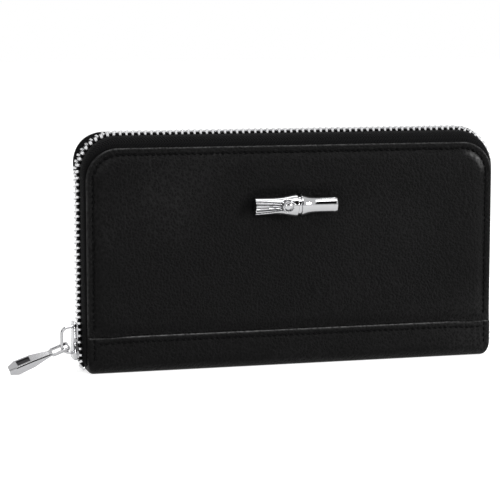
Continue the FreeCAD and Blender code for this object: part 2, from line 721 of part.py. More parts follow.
def add_slider():
    """Main slider on the left run: two flanged plates and the post, then the bridge."""
    body = new_body("slider_body", x="0 - chain_half", z="slider_foot")
    narrow = "row_root + row_clear + flange_wide"
    broad = f"{narrow} + spread"
    foot = "spread_foot - slider_foot"
    head = "spread_head - slider_foot"
    half_outline = ((f"{narrow} - flange_wide", "0"), (broad, "post_foot + flange_wide"),
                    (broad, foot), (narrow, head),
                    (narrow, "slider_long - flange_wide"),
                    (f"{narrow} - flange_wide", "slider_long"))
    outline = half_outline + tuple((f"0 - ( {y} )", z) for y, z in reversed(half_outline))
    for depth in ("0 - slider_gap - slider_plate", "slider_gap"):
        sketch = add_sketch(body, "YZ_Plane", depth)
        polygon(sketch, outline)
        extrude(body, sketch, "slider_plate")
    for depth in ("0 - slider_gap", "slider_gap - flange"):
        sketch = add_sketch(body, "YZ_Plane", depth)
        for sign in ("1", "-1"):
            polygon(sketch, [(f"{sign} * ( {y} )", z) for y, z in (
                (f"{broad} - flange_wide", "post_foot + flange_wide"),
                (broad, "post_foot + flange_wide"),
                (broad, foot), (narrow, head), (narrow, "slider_long - flange_wide"),
                (f"{narrow} - flange_wide", "slider_long - flange_wide"),
                (f"{narrow} - flange_wide", head), (f"{broad} - flange_wide", foot))])
        extrude(body, sketch, "flange")
    add_box(body, "YZ_Plane", ("0 - post_half", "post_half",
                               "post_foot", "post_foot + post_long"),
            "2 * slider_gap", both_ways=True)

    bridge = new_body("slider_bridge", x="0 - chain_half", z="slider_foot")
    sketch = add_sketch(bridge, "XZ_Plane")
    face = "slider_gap + slider_plate"
    outer = (("bridge_out - bridge_bend", "bridge_foot"), ("bridge_out", "bridge_foot + bridge_bend"),
             ("bridge_out", "bridge_head - bridge_bend"), ("bridge_out - bridge_bend", "bridge_head"))
    bend = "bridge_bend + bridge_strap * 0.4142"
    inner = ((f"bridge_out - ( {bend} )", "bridge_head - bridge_strap"),
             ("bridge_out - bridge_strap", f"bridge_head - ( {bend} )"),
             ("bridge_out - bridge_strap", f"bridge_foot + {bend}"),
             (f"bridge_out - ( {bend} )", "bridge_foot + bridge_strap"))
    corners = ((face, "bridge_foot"), *outer, (face, "bridge_head"),
               (face, "bridge_head - bridge_strap"), *inner,
               (face, "bridge_foot + bridge_strap"))
    polygon(sketch, [(f"0 - ( {x} )", z) for x, z in corners])
    extrude(bridge, sketch, "bridge_wide", both_ways=True)


def add_pull():
    """Pull bar: slotted ring, waist, broad bevelled end with a shallow recess."""
    droop = FreeCAD.Rotation(V(0, 1, 0), -number("pull_droop"))
    roll = FreeCAD.Rotation(V(1, 0, 0), number("pull_roll"))
    body = new_body("pull_bar", x="0 - chain_half - pull_out", z="slider_foot + pull_up",
                    rotation=droop.multiply(roll))
    plan = add_sketch(body, "XY_Plane")
    half_plan = (("ring_back", "pull_waist"), ("0", "ring_half"),
                 ("0 - slot_end", "ring_half"), ("0 - waist_at", "pull_waist"),
                 ("0 - broad_at", "pull_half"), ("0 - pull_long + tip_bevel", "pull_half"),
                 ("0 - pull_long", "pull_half - tip_bevel / 3"))
    polygon(plan, half_plan + tuple((x, f"0 - ( {y} )") for x, y in reversed(half_plan)))
    rectangle(plan, "0 - slot_end", "0 - ring_back", "0 - slot_half", "slot_half")
    extrude(body, plan, "pull_thick", both_ways=True)

    taper = add_sketch(body, "XZ_Plane")
    for sign in ("1", "-1"):
        polygon(taper, [(x, f"{sign} * ( {z} )") for x, z in (
            ("2 * ring_back", "ring_thick / 2"), ("0 - waist_at", "ring_thick / 2"),
            ("0 - broad_at", "pull_thick / 2"), ("0 - broad_at", "pull_thick"),
            ("2 * ring_back", "pull_thick"))])
        polygon(taper, [(x, f"{sign} * ( {z} )") for x, z in (
            ("tip_bevel - pull_long", "pull_thick / 2"),
            ("0 - pull_long - tip_bevel", "pull_thick / 2 - tip_bevel / 2"),
            ("0 - pull_long - tip_bevel", "pull_thick"))])
    extrude(body, taper, "3 * pull_half", kind="Pocket", both_ways=True)

    recess = add_sketch(body, "XY_Plane", "pull_thick / 2")
    rectangle(recess, "0 - recess_at - recess_long", "0 - recess_at",
              "0 - recess_wide / 2", "recess_wide / 2")
    extrude(body, recess, "recess_deep", kind="Pocket")


def add_ornament(cover, board):
    """Bar with a double node, its posts, backing plate, and the holes they need."""
    body = new_body("bamboo_bar", x="bar_x", y="0 - half_depth - bar_seat", z="bar_z")
    profile = add_sketch(body, "XZ_Plane")
    polygon(profile, (("0 - bar_half", "0"), ("0 - bar_half", "bar_left - bar_rim"),
                      ("0 - bar_half + bar_rim", "bar_left"), ("0 - bar_half / 2", "bar_waist"),
                      ("0 - node_groove / 2", "node_neck"), ("0 - bar_rim", "node_radius"),
                      ("bar_rim / 2", "node_radius"), ("2 * bar_rim", "node_groove"),
                      ("3.5 * bar_rim", "node_radius"), ("5 * bar_rim", "node_radius"),
                      ("node_groove", "node_neck"), ("bar_half * 2 / 3", "bar_waist"),
                      ("bar_half - bar_rim", "bar_right"), ("bar_half", "bar_right - bar_rim"),
                      ("bar_half", "0")))
    turned = body.newObject("PartDesign::Revolution", "bamboo_bar_turned")
    turned.Profile = profile
    turned.ReferenceAxis = (profile, ["H_Axis"])
    turned.Angle = 360.0
    body.Tip = turned
    boss = add_sketch(body, "XZ_Plane")
    circle(boss, "boss_x", "0", "boss_radius")
    extrude(body, boss, "boss_out")
    back = add_sketch(body, "XZ_Plane", "0 - bar_seat")
    rectangle(back, "0 - bar_half - bar_rim", "bar_half + bar_rim",
              "0 - 2 * node_radius", "2 * node_radius")
    extrude(body, back, "node_radius", kind="Pocket")

    for name, sign in (("left", "-"), ("right", "+")):
        at = f"bar_x {sign} post_pitch"
        post = new_body(f"bamboo_post_{name}", x=at, y="0 - half_depth + cover_leather", z="bar_z")
        sketch = add_sketch(post, "XZ_Plane")
        circle(sketch, "0", "0", "post_radius")
        extrude(post, sketch, "cover_leather")
        circle(cover, at, "bar_z - spine_round", "post_radius + post_clear")

    plate = new_body("bamboo_backing_plate", x="bar_x",
                     y="0 - half_depth + cover_leather + board", z="bar_z")
    add_box(plate, "XZ_Plane", ("0 - plate_half", "plate_half",
                                "0 - plate_tall", "plate_tall"), "board")
    rectangle(board, "bar_x - plate_half - window_clear", "bar_x + plate_half + window_clear",
              "bar_z - lining_foot - plate_tall - window_clear",
              "bar_z - lining_foot + plate_tall + window_clear")


def check_and_export():
    """Stop on any failed object, then write one file per node."""
    doc.recompute()
    failed = [item.Name for item in doc.Objects
              if {"Invalid", "Error"}.intersection(item.State)]
    bad = [item.Name for item in NODES
           if item.Shape.isNull() or not item.Shape.isValid() or len(item.Shape.Solids) != 1]
    if failed or bad:
        raise RuntimeError(f"failed objects {failed}, bad shapes {bad}")
    os.makedirs("parts", exist_ok=True)
    for item in NODES:
        item.Shape.exportStep(f"parts/{item.Label}.step")


front_cover, front_board = add_cover_stack("front")
add_cover_stack("back")
add_base()
add_gusset("left_gusset", "-1")
add_gusset("right_gusset", "1")
for side in ("front", "back"):
    add_tape(side)
    add_divider(side)
add_chain()
add_coin_pocket()
add_coin_slider()
add_slider()
add_pull()
add_ornament(front_cover, front_board)
check_and_export()
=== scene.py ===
import logging
import math
from dataclasses import dataclass, replace
from enum import Enum
from typing import Any, Callable, Iterable, Sequence

import bmesh
import bpy
from mathutils import Matrix, Vector, noise


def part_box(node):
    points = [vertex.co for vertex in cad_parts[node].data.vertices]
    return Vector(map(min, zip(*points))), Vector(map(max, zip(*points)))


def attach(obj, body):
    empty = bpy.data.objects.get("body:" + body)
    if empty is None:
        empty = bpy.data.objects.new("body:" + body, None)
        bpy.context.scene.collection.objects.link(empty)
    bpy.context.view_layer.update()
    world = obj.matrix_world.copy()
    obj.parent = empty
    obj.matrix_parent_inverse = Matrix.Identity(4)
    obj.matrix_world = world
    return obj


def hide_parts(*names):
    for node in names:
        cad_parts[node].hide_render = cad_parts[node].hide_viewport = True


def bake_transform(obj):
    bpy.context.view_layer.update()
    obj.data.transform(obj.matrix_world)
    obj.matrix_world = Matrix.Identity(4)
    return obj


log = logging.getLogger("wallet")
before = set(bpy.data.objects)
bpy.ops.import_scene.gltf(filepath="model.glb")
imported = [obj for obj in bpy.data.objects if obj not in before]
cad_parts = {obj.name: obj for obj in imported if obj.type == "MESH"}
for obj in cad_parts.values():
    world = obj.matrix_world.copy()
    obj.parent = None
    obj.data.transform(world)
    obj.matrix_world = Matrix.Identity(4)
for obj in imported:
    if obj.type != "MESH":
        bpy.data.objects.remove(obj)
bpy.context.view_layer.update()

MM = 0.001

Point = tuple[float, float, float]
Bend = tuple[Point, Point]


class Side(Enum):
    """The half of the wallet a piece belongs to."""

    FRONT = "front"
    BACK = "back"

    @property
    def body(self) -> str:
        """Name of the rigid body of this half."""
        return f"{self.value}_half"


# ---------------------------------------------------------------- shader tools


class Socket:
    """A node output that turns Python arithmetic into Math nodes."""

    def __init__(self, nodes: "Nodes", output: bpy.types.NodeSocket) -> None:
        """Wrap one output of a node."""
        self.nodes = nodes
        self.output = output

    def math(self, operation: str, *values: "Socket | float") -> "Socket":
        """Apply a Math operation with this socket as its first value.

        Args:
            operation: Name of the Math node's operation.
            *values: Second and third value where the operation has them.

        Returns:
            The result.
        """
        return self.nodes.add("ShaderNodeMath", {"operation": operation},
                              dict(enumerate((self, *values))))

    def flipped(self, operation: str, first: float) -> "Socket":
        """Apply a Math operation with a number before this socket."""
        return self.nodes.add("ShaderNodeMath", {"operation": operation}, {0: first, 1: self})

    def __add__(self, other: "Socket | float") -> "Socket":
        """Sum."""
        return self.math("ADD", other)

    def __radd__(self, other: float) -> "Socket":
        """Sum with the number first."""
        return self.math("ADD", other)

    def __sub__(self, other: "Socket | float") -> "Socket":
        """Difference."""
        return self.math("SUBTRACT", other)

    def __rsub__(self, other: float) -> "Socket":
        """Difference with the number first."""
        return self.flipped("SUBTRACT", other)

    def __mul__(self, other: "Socket | float") -> "Socket":
        """Product."""
        return self.math("MULTIPLY", other)

    def __rmul__(self, other: float) -> "Socket":
        """Product with the number first."""
        return self.math("MULTIPLY", other)


class Nodes:
    """Node tree in which one method makes every node."""

    def __init__(self, tree: bpy.types.NodeTree) -> None:
        """Take a tree over and empty it."""
        self.tree = tree
        tree.nodes.clear()

    def node(self, kind: str, settings: dict[str, Any],
             inputs: dict[int | str, Any]) -> bpy.types.Node:
        """Add a node.

        Args:
            kind: Node type.
            settings: Attributes set before the inputs; `stops` fills a ramp.
            inputs: Values or links by input name or number.

        Returns:
            The node.
        """
        node = self.tree.nodes.new(kind)
        for key, value in settings.items():
            if key == "stops":
                elements = node.color_ramp.elements
                while len(elements) < len(value):
                    elements.new(1.0)
                for element, (position, grey) in zip(elements, value):
                    element.position = position
                    element.color = (grey, grey, grey, 1.0)
            else:
                setattr(node, key, value)
        for key, value in inputs.items():
            if isinstance(value, Socket):
                self.tree.links.new(value.output, node.inputs[key])
            else:
                node.inputs[key].default_value = value
        return node

    def add(self, kind: str, settings: dict[str, Any], inputs: dict[int | str, Any],
            output: int | str = 0) -> Socket:
        """Add a node and take one of its outputs, by name or number."""
        return Socket(self, self.node(kind, settings, inputs).outputs[output])

    def ray(self, kind: str) -> Socket:
        """1 for rays of a kind, such as Camera, and 0 for others."""
        return self.add("ShaderNodeLightPath", {}, {}, f"Is {kind} Ray")


class Shader(Nodes):
    """Node tree of one material that ends in a Principled surface."""

    def __init__(self, name: str) -> None:
        """Start an empty material.

        Args:
            name: Name of the material.
        """
        self.material = bpy.data.materials.new(name)
        self.material.use_nodes = True
        super().__init__(self.material.node_tree)

    def place(self) -> Socket:
        """Position in the object's own frame, in metres."""
        return self.add("ShaderNodeTexCoord", {}, {}, "Object")

    def noise(self, where: Socket, scale: float, detail: float = 3.0,
              roughness: float = 0.55) -> Socket:
        """Noise value at a scale in cells per metre."""
        return self.add("ShaderNodeTexNoise", {}, {"Vector": where, "Scale": scale,
                                                   "Detail": detail, "Roughness": roughness})

    def axis(self, chart: Socket, number: int) -> Socket:
        """One coordinate of a place or a map: 0, 1 or 2."""
        return self.add("ShaderNodeSeparateXYZ", {}, {0: chart}, number)

    def mix(self, factor: Socket | float, first: Sequence[float],
            second: Sequence[float]) -> Socket:
        """Mix two colours by a factor."""
        return self.add("ShaderNodeMix", {"data_type": "RGBA"},
                        {0: factor, 6: (*first, 1.0), 7: (*second, 1.0)}, 2)

    def bump(self, height: Socket, depth: float, under: Socket | None = None) -> Socket:
        """Add relief to the surface.

        Args:
            height: Height from 0 to 1.
            depth: Depth in millimetres of a height of 1.
            under: Relief that this one lies on.

        Returns:
            The normal.
        """
        inputs: dict[int | str, Any] = {"Height": height, "Strength": 1.0, "Distance": depth * MM}
        if under is not None:
            inputs["Normal"] = under
        return self.add("ShaderNodeBump", {}, inputs)

    def finish(self, colour: Any, roughness: Any, normal: Socket | None = None,
               **others: Any) -> bpy.types.Material:
        """Connect the surface and hand over the material.

        Args:
            colour: Base colour, as a link or three numbers.
            roughness: Link or number.
            normal: Bump chain.
            **others: Other surface sockets, underscores for spaces.

        Returns:
            The finished material.
        """
        inputs = {name.replace("_", " "): value for name, value in others.items()}
        inputs["Base Color"] = colour if isinstance(colour, Socket) else (*colour, 1.0)
        inputs["Roughness"] = roughness
        if normal is not None:
            inputs["Normal"] = normal
        surface = self.add("ShaderNodeBsdfPrincipled", {}, inputs)
        self.node("ShaderNodeOutputMaterial", {}, {"Surface": surface})
        return self.material


@dataclass(frozen=True)
class Leather:
    """Smooth dyed calf leather with fine pores and faint creases; soft clouds of painted sheen
    lighten its base colour.
    """

    name: str
    dark: tuple[float, float, float] = (0.0002, 0.0002, 0.0002)
    light: tuple[float, float, float] = (0.003, 0.0029, 0.003)
    roughness: float = 0.32
    grain: float = 0.45
    coat: float = 0.1

    def build(self) -> bpy.types.Material:
        """Make the material.

        Returns:
            The material.
        """
        shader = Shader(self.name)
        where = shader.place()
        cloud = shader.noise(where, 17.0, 1.0)
        drift = shader.noise(where, 320.0, 3.0)
        pores = shader.add("ShaderNodeTexVoronoi", {"feature": "SMOOTH_F1"},
                           {"Vector": where, "Scale": 850.0, "Smoothness": 0.35}, 0)
        fine = shader.noise(where, 3800.0, 2.0)
        crease = shader.add("ShaderNodeTexVoronoi", {"feature": "DISTANCE_TO_EDGE"},
                            {"Vector": where, "Scale": 620.0}, 0)
        lines = shader.add("ShaderNodeValToRGB", {"stops": ((0.0, 0.0), (0.09, 1.0))}, {0: crease})
        height = pores * 0.55 + fine * 0.3 + lines * 0.15
        # Cloud mask: in the base colour it is a painted sheen standing in for soft highlights; in
        # the coat weight it is a real polish variation.
        painted_sheen_and_polish = ((cloud - 0.5) * 3.0).math("MAXIMUM", 0.0) + (drift - 0.5) * 0.2
        cells = ((pores - 0.3) * 2.6 + (fine - 0.5) * 2.4 + 0.35).math("MAXIMUM", 0.0)
        # Base colour: pore cells, plus the cloud mask as a painted sheen.
        tone = shader.mix(cells * 0.75 + painted_sheen_and_polish * 0.3, self.dark, self.light)
        rubbed = shader.add("ShaderNodeAttribute", {"attribute_name": "burnish"}, {}, "Fac")
        polish = ((painted_sheen_and_polish * cells) * self.coat).math("MAXIMUM", 0.01) + rubbed * (cells + 0.3)
        rough = self.roughness + (cloud - 0.5) * 0.16 + (fine - 0.5) * 0.1
        normal = shader.bump(height, self.grain, shader.bump(drift, 0.16))
        return shader.finish(tone, rough, normal, Specular_IOR_Level=0.06,
                             Coat_Weight=polish, Coat_Roughness=0.4)


@dataclass(frozen=True)
class Weave:
    """Cloth whose threads follow the piece's own UV map, in millimetres."""

    name: str
    dark: tuple[float, float, float] = (0.001, 0.001, 0.0011)
    light: tuple[float, float, float] = (0.007, 0.007, 0.0075)
    band: float = 2.4
    thread: float = 1.25
    depth: float = 0.35

    def build(self) -> bpy.types.Material:
        """Make the herringbone: slanting threads that turn back at each band.

        Returns:
            The material.
        """
        shader = Shader(self.name)
        chart = shader.add("ShaderNodeUVMap", {"uv_map": "UVMap"}, {})
        along, across = shader.axis(chart, 0), shader.axis(chart, 1)
        slant = across.math("PINGPONG", self.band)
        turns = 2 * math.pi / self.thread
        threads = ((along + slant) * turns).math("SINE") * 0.5 + 0.5
        picks = (across * (turns * 0.9)).math("SINE") * 0.5 + 0.5
        fuzz = shader.noise(shader.place(), 5200.0, 2.0)
        height = threads * 0.7 + picks * 0.15 + fuzz * 0.25
        tone = shader.mix(height * 0.8, self.dark, self.light)
        return shader.finish(tone, 0.72 + (fuzz - 0.5) * 0.2, shader.bump(height, self.depth),
                             Specular_IOR_Level=0.05)


@dataclass(frozen=True)
class Twill:
    """Fine lining cloth, its diagonal read from the piece's place."""

    name: str
    dark: tuple[float, float, float] = (0.006, 0.006, 0.007)
    light: tuple[float, float, float] = (0.022, 0.021, 0.023)

    def build(self) -> bpy.types.Material:
        """Make the material.

        Returns:
            The material.
        """
        shader = Shader(self.name)
        where = shader.place()
        x, y, z = (shader.axis(where, number) for number in range(3))
        turns = 2 * math.pi / (0.5 * MM)
        rib = ((x + y + z) * turns).math("SINE") * 0.5 + 0.5
        weft = ((x - y - z) * (turns * 1.7)).math("SINE") * 0.5 + 0.5
        fuzz = shader.noise(where, 4200.0, 2.0)
        height = rib * 0.6 + weft * 0.2 + fuzz * 0.3
        tone = shader.mix(height * 0.85, self.dark, self.light)
        return shader.finish(tone, 0.66 + (fuzz - 0.5) * 0.2, shader.bump(height, 0.06),
                             Specular_IOR_Level=0.3, Sheen_Weight=0.1, Sheen_Roughness=0.4)


@dataclass(frozen=True)
class Metal:
    """Plated or plain metal with faint wear."""

    name: str
    colour: tuple[float, float, float] = (0.46, 0.46, 0.47)
    roughness: float = 0.06
    wear: float = 0.04
    depth: float = 0.004

    def build(self) -> bpy.types.Material:
        """Make the material.

        Returns:
            The material.
        """
        shader = Shader(self.name)
        where = shader.place()
        haze = shader.noise(where, 260.0, 3.0)
        rubs = shader.noise(where, 2600.0, 2.0)
        dull = tuple(value * 0.93 for value in self.colour)
        tone = shader.mix(haze, self.colour, dull)
        rough = self.roughness + haze * self.wear + (rubs - 0.5) * self.wear
        return shader.finish(tone, rough, shader.bump(rubs, self.depth), Metallic=1.0)


@dataclass(frozen=True)
class Thread:
    """Waxed sewing thread with its twist, the twist ridges carrying a painted highlight."""

    name: str
    colour: tuple[float, float, float] = (0.0008, 0.0008, 0.0009)

    def build(self) -> bpy.types.Material:
        """Make the material.

        Returns:
            The material.
        """
        shader = Shader(self.name)
        where = shader.place()
        x, z = shader.axis(where, 0), shader.axis(where, 2)
        twist = ((x + z) * (2 * math.pi / (0.45 * MM))).math("SINE") * 0.5 + 0.5
        fuzz = shader.noise(where, 6000.0, 2.0)
        # Painted highlight: a lighter copy of the thread colour on the twist ridges.
        painted_twist_highlight = tuple(value * 2.2 for value in self.colour)
        return shader.finish(shader.mix(twist * 0.7 + fuzz * 0.3, self.colour, painted_twist_highlight), 0.5,
                             shader.bump(twist, 0.05), Specular_IOR_Level=0.05)


@dataclass(frozen=True)
class Board:
    """Grey stiffener board, pressed fibres."""

    name: str

    def build(self) -> bpy.types.Material:
        """Make the material.

        Returns:
            The material.
        """
        shader = Shader(self.name)
        where = shader.place()
        flecks = shader.noise(where, 900.0, 4.0, 0.7)
        tone = shader.mix(flecks, (0.34, 0.3, 0.25), (0.5, 0.45, 0.38))
        return shader.finish(tone, 0.85, shader.bump(flecks, 0.05))


class Finishes:
    """Every material of the wallet, made once."""

    def __init__(self) -> None:
        """Build the set."""
        self.cover = Leather("smooth_leather").build()
        self.band = Leather("band_leather", roughness=0.4).build()
        self.pocket = Leather("pocket_leather", dark=(0.007, 0.007, 0.0075),
                              light=(0.016, 0.0155, 0.016), roughness=0.48, coat=0.05).build()
        self.lining = Twill("lining_fabric").build()
        self.tape = Weave("zip_tape").build()
        self.fine_tape = Twill("fine_zip_tape", dark=(0.004, 0.004, 0.0045)).build()
        self.teeth = Metal("zip_metal", colour=(0.66, 0.66, 0.67), roughness=0.14,
                           wear=0.08).build()
        self.chrome = Metal("polished_metal").build()
        self.slider = Metal("slider_metal", colour=(0.43, 0.43, 0.44), roughness=0.08).build()
        self.steel = Metal("plain_metal", colour=(0.42, 0.42, 0.43), roughness=0.32,
                           wear=0.12).build()
        self.thread = Thread("black_thread").build()
        self.board = Board("stiffener_board").build()
        # Near-black metal on the pull's recess and the bar's carved grooves: these hollows are
        # darker than the rest of the metal.
        self.recess = Metal("dark_recess_metal", colour=(0.03, 0.03, 0.032), roughness=0.3,
                            wear=0.1).build()


# ---------------------------------------------------------------- mesh tools


@dataclass
class Dress:
    """What a finished mesh needs to become a piece of the wallet."""

    material: bpy.types.Material
    slot: str
    body: str | None = None
    replaces: tuple[str, ...] = ()
    smooth: float = 40.0
    second: bpy.types.Material | None = None


def settle(bm: bmesh.types.BMesh, name: str, dress: Dress) -> bpy.types.Object:
    """Turn a millimetre bmesh into a dressed object in the frame.

    Args:
        bm: Mesh in millimetres; it is freed.
        name: Name of the piece.
        dress: Material, body and replaced nodes; its slot is not read.

    Returns:
        The new object.
    """
    bmesh.ops.remove_doubles(bm, verts=bm.verts, dist=0.0004)
    bmesh.ops.recalc_face_normals(bm, faces=bm.faces)
    bmesh.ops.scale(bm, vec=(MM, MM, MM), verts=bm.verts)
    mesh = bpy.data.meshes.new(name)
    bm.to_mesh(mesh)
    bm.free()
    mesh.polygons.foreach_set("use_smooth", [True] * len(mesh.polygons))
    mesh.set_sharp_from_angle(angle=math.radians(dress.smooth))
    mesh.materials.append(dress.material)
    if dress.second is not None:
        mesh.materials.append(dress.second)
    piece = bpy.data.objects.new(name, mesh)
    bpy.context.scene.collection.objects.link(piece)
    if dress.body is not None:
        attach(piece, dress.body)
    if dress.replaces:
        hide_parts(*dress.replaces)
    log.info("%s: %d faces", name, len(mesh.polygons))
    return piece


def chart_grid(xs: Sequence[float], ys: Sequence[float],
               place: Callable[[float, float], Vector]) -> bmesh.types.BMesh:
    """Grid whose lines lie at given values and whose points are then placed.

    Args:
        xs: Values of the first direction, rising.
        ys: Values of the second direction, rising.
        place: Gives the point for a pair of values.

    Returns:
        The mesh, with the pair of values as its UV map.
    """
    bm = bmesh.new()
    chart = bm.loops.layers.uv.new("UVMap")
    columns, rows = len(xs) - 1, len(ys) - 1
    bmesh.ops.create_grid(bm, x_segments=columns, y_segments=rows, size=1.0)
    pairs = {}
    for vert in bm.verts:
        column = round((vert.co.x + 1) / 2 * columns)
        row = round((vert.co.y + 1) / 2 * rows)
        pairs[vert] = (xs[column], ys[row])
    for face in bm.faces:
        for loop in face.loops:
            loop[chart].uv = pairs[loop.vert]
    for vert, pair in pairs.items():
        vert.co = place(*pair)
    return bm


def thicken(bm: bmesh.types.BMesh, thickness: float, outward: Vector | None = None) -> None:
    """Give an open sheet its thickness, inwards from its outside.

    Args:
        bm: The sheet.
        thickness: Thickness in millimetres.
        outward: Direction in which the sheet's furthest face looks outwards;
            without it the recalculated outside holds.
    """
    bmesh.ops.recalc_face_normals(bm, faces=bm.faces)
    if outward is not None:
        furthest = max(bm.faces, key=lambda face: face.calc_center_median().dot(outward))
        if furthest.normal.dot(outward) < 0:
            bmesh.ops.reverse_faces(bm, faces=bm.faces)
    bmesh.ops.solidify(bm, geom=bm.faces[:], thickness=thickness)


def close_back(bm: bmesh.types.BMesh, levels: Sequence[float]) -> None:
    """Extrude an open sheet's rim back to one or more Y levels and close it.

    Args:
        bm: Open sheet seen from -Y.
        levels: Y of each step, the last one being the back.
    """
    rim = [edge for edge in bm.edges if edge.is_boundary]
    for level in levels:
        made = bmesh.ops.extrude_edge_only(bm, edges=rim)["geom"]
        for vert in (item for item in made if isinstance(item, bmesh.types.BMVert)):
            vert.co.y = level
        rim = [item for item in made if isinstance(item, bmesh.types.BMEdge) and item.is_boundary]
    bmesh.ops.holes_fill(bm, edges=rim, sides=0)


def rub(bm: bmesh.types.BMesh, weight: Callable[[Vector], float]) -> None:
    """Store how burnished the leather is, for its finish to read.

    Args:
        bm: Mesh in millimetres.
        weight: Gives the burnish at a point.
    """
    layer = bm.verts.layers.float.new("burnish")
    for vert in bm.verts:
        vert[layer] = weight(vert.co)


def outline_plate(points: Sequence[tuple[float, float]], low: float, high: float,
                  frame_of: Callable[[float, float, float], Vector]) -> bmesh.types.BMesh:
    """Plate with a given outline between two depths.

    Args:
        points: Outline corners in the plate's plane.
        low: Depth of the first face.
        high: Depth of the second face.
        frame_of: Turns (a, b, depth) into a point.

    Returns:
        The closed plate.
    """
    bm = bmesh.new()
    face = bm.faces.new([bm.verts.new(frame_of(a, b, low)) for a, b in points])
    made = bmesh.ops.extrude_face_region(bm, geom=[face])["geom"]
    offset = frame_of(0, 0, high) - frame_of(0, 0, low)
    moved = [item for item in made if isinstance(item, bmesh.types.BMVert)]
    bmesh.ops.translate(bm, vec=offset, verts=moved)
    bmesh.ops.recalc_face_normals(bm, faces=bm.faces)
    return bm


def soften(bm: bmesh.types.BMesh, width: float, segments: int = 2,
           edges: Iterable[bmesh.types.BMEdge] | None = None) -> None:
    """Bevel the given edges, or every edge sharper than 30 degrees.

    Args:
        bm: The mesh.
        width: Width of the bevel.
        segments: Steps across the bevel.
        edges: Edges to bevel.
    """
    if edges is None:
        edges = [edge for edge in bm.edges
                 if edge.is_manifold and edge.calc_face_angle(0.0) > math.radians(30)]
    bmesh.ops.bevel(bm, geom=list(edges), offset=width, offset_type="OFFSET", segments=segments,
                    profile=0.5, affect="EDGES", material=-1, clamp_overlap=True)


def absorb(target: bmesh.types.BMesh, part: bmesh.types.BMesh) -> None:
    """Add a part to a mesh.

    Args:
        target: Mesh that takes the part in.
        part: The part; it is freed.
    """
    mesh = bpy.data.meshes.new("part")
    part.to_mesh(mesh)
    part.free()
    target.from_mesh(mesh)
    bpy.data.meshes.remove(mesh)


def repeat(template: bmesh.types.BMesh, places: Iterable[Matrix]) -> bmesh.types.BMesh:
    """Copy a small mesh to many places.

    Args:
        template: Mesh of one copy; it is freed.
        places: Where each copy goes.

    Returns:
        One mesh with all copies.
    """
    mesh = bpy.data.meshes.new("template")
    template.to_mesh(mesh)
    template.free()
    bm = bmesh.new()
    for place in places:
        start = len(bm.verts)
        bm.from_mesh(mesh)
        bm.verts.ensure_lookup_table()
        bmesh.ops.transform(bm, matrix=place, verts=bm.verts[start:])
    bpy.data.meshes.remove(mesh)
    return bm


def sweep(bm: bmesh.types.BMesh, section: Sequence[tuple[float, float]],
          frames: Sequence[Matrix], closed: bool = False) -> None:
    """Extrude a section along a row of frames.

    Args:
        bm: Mesh to add to.
        section: Section corners in the frames' X and Y.
        frames: Place and direction of each station.
        closed: Whether the last station joins the first.
    """
    ring = [bm.verts.new(frames[0] @ Vector((a, b, 0))) for a, b in section]
    first = [bm.edges.new((ring[k], ring[(k + 1) % len(ring)])) for k in range(len(ring))]
    edges = first
    for one, two in zip(frames, frames[1:]):
        made = bmesh.ops.extrude_edge_only(bm, edges=edges)["geom"]
        verts = [item for item in made if isinstance(item, bmesh.types.BMVert)]
        edges = [item for item in made if isinstance(item, bmesh.types.BMEdge)
                 and item.verts[0] in verts and item.verts[1] in verts]
        bmesh.ops.transform(bm, matrix=two @ one.inverted(), verts=verts)
    if closed:
        bmesh.ops.bridge_loops(bm, edges=edges + first)
    else:
        bmesh.ops.edgeloop_fill(bm, edges=edges)
        bmesh.ops.edgeloop_fill(bm, edges=first)


def path_frames(points: Sequence[Vector], side: Vector, closed: bool = False) -> list[Matrix]:
    """Frames along a path that lies square to one direction.

    Args:
        points: The path.
        side: Direction of every frame's X.
        closed: Whether the first point follows the last.

    Returns:
        A frame for each point, its Z along the path.
    """
    last = len(points) - 1
    frames = []
    for k, spot in enumerate(points):
        ahead = points[(k + 1) % len(points)] if closed else points[min(k + 1, last)]
        behind = points[k - 1] if closed else points[max(k - 1, 0)]
        way = (ahead - behind).normalized()
        turn = Matrix((side, way.cross(side), way)).transposed().to_4x4()
        frames.append(Matrix.Translation(spot) @ turn)
    return frames


def bar_section(wide: float, thick: float) -> list[tuple[float, float]]:
    """Section of a flat bar with rounded edges.

    Args:
        wide: Half its width.
        thick: Half its thickness.

    Returns:
        The section's corners.
    """
    low = [(-wide, -thick * 0.5), (-wide * 0.8, -thick * 0.9), (-wide * 0.4, -thick),
           (wide * 0.4, -thick), (wide * 0.8, -thick * 0.9), (wide, -thick * 0.5)]
    return low + [(-a, -b) for a, b in low]


def block(size: Sequence[float], middle: Sequence[float]) -> bmesh.types.BMesh:
    """Rectangular block.

    Args:
        size: Its three sizes.
        middle: Its middle.

    Returns:
        The block.
    """
    bm = bmesh.new()
    bmesh.ops.create_cube(bm, size=1.0)
    bmesh.ops.scale(bm, vec=size, verts=bm.verts)
    bmesh.ops.translate(bm, vec=middle, verts=bm.verts)
    return bm


def lathe(profile: Sequence[Point], axis: Point, count: int) -> bmesh.types.BMesh:
    """Turn a profile about an axis through the origin.

    Args:
        profile: Points of the profile.
        axis: Direction of the axis.
        count: Steps round the axis.

    Returns:
        The turned surface, its ends still open.
    """
    bm = bmesh.new()
    verts = [bm.verts.new(point) for point in profile]
    edges = [bm.edges.new(pair) for pair in zip(verts, verts[1:])]
    bmesh.ops.spin(bm, geom=verts + edges, cent=(0, 0, 0), axis=axis, angle=2 * math.pi,
                   steps=count, use_merge=True)
    bmesh.ops.remove_doubles(bm, verts=bm.verts, dist=0.0005)
    return bm


def close_ends(bm: bmesh.types.BMesh) -> None:
    """Fill every open rim."""
    bmesh.ops.holes_fill(bm, edges=[edge for edge in bm.edges if edge.is_boundary], sides=0)


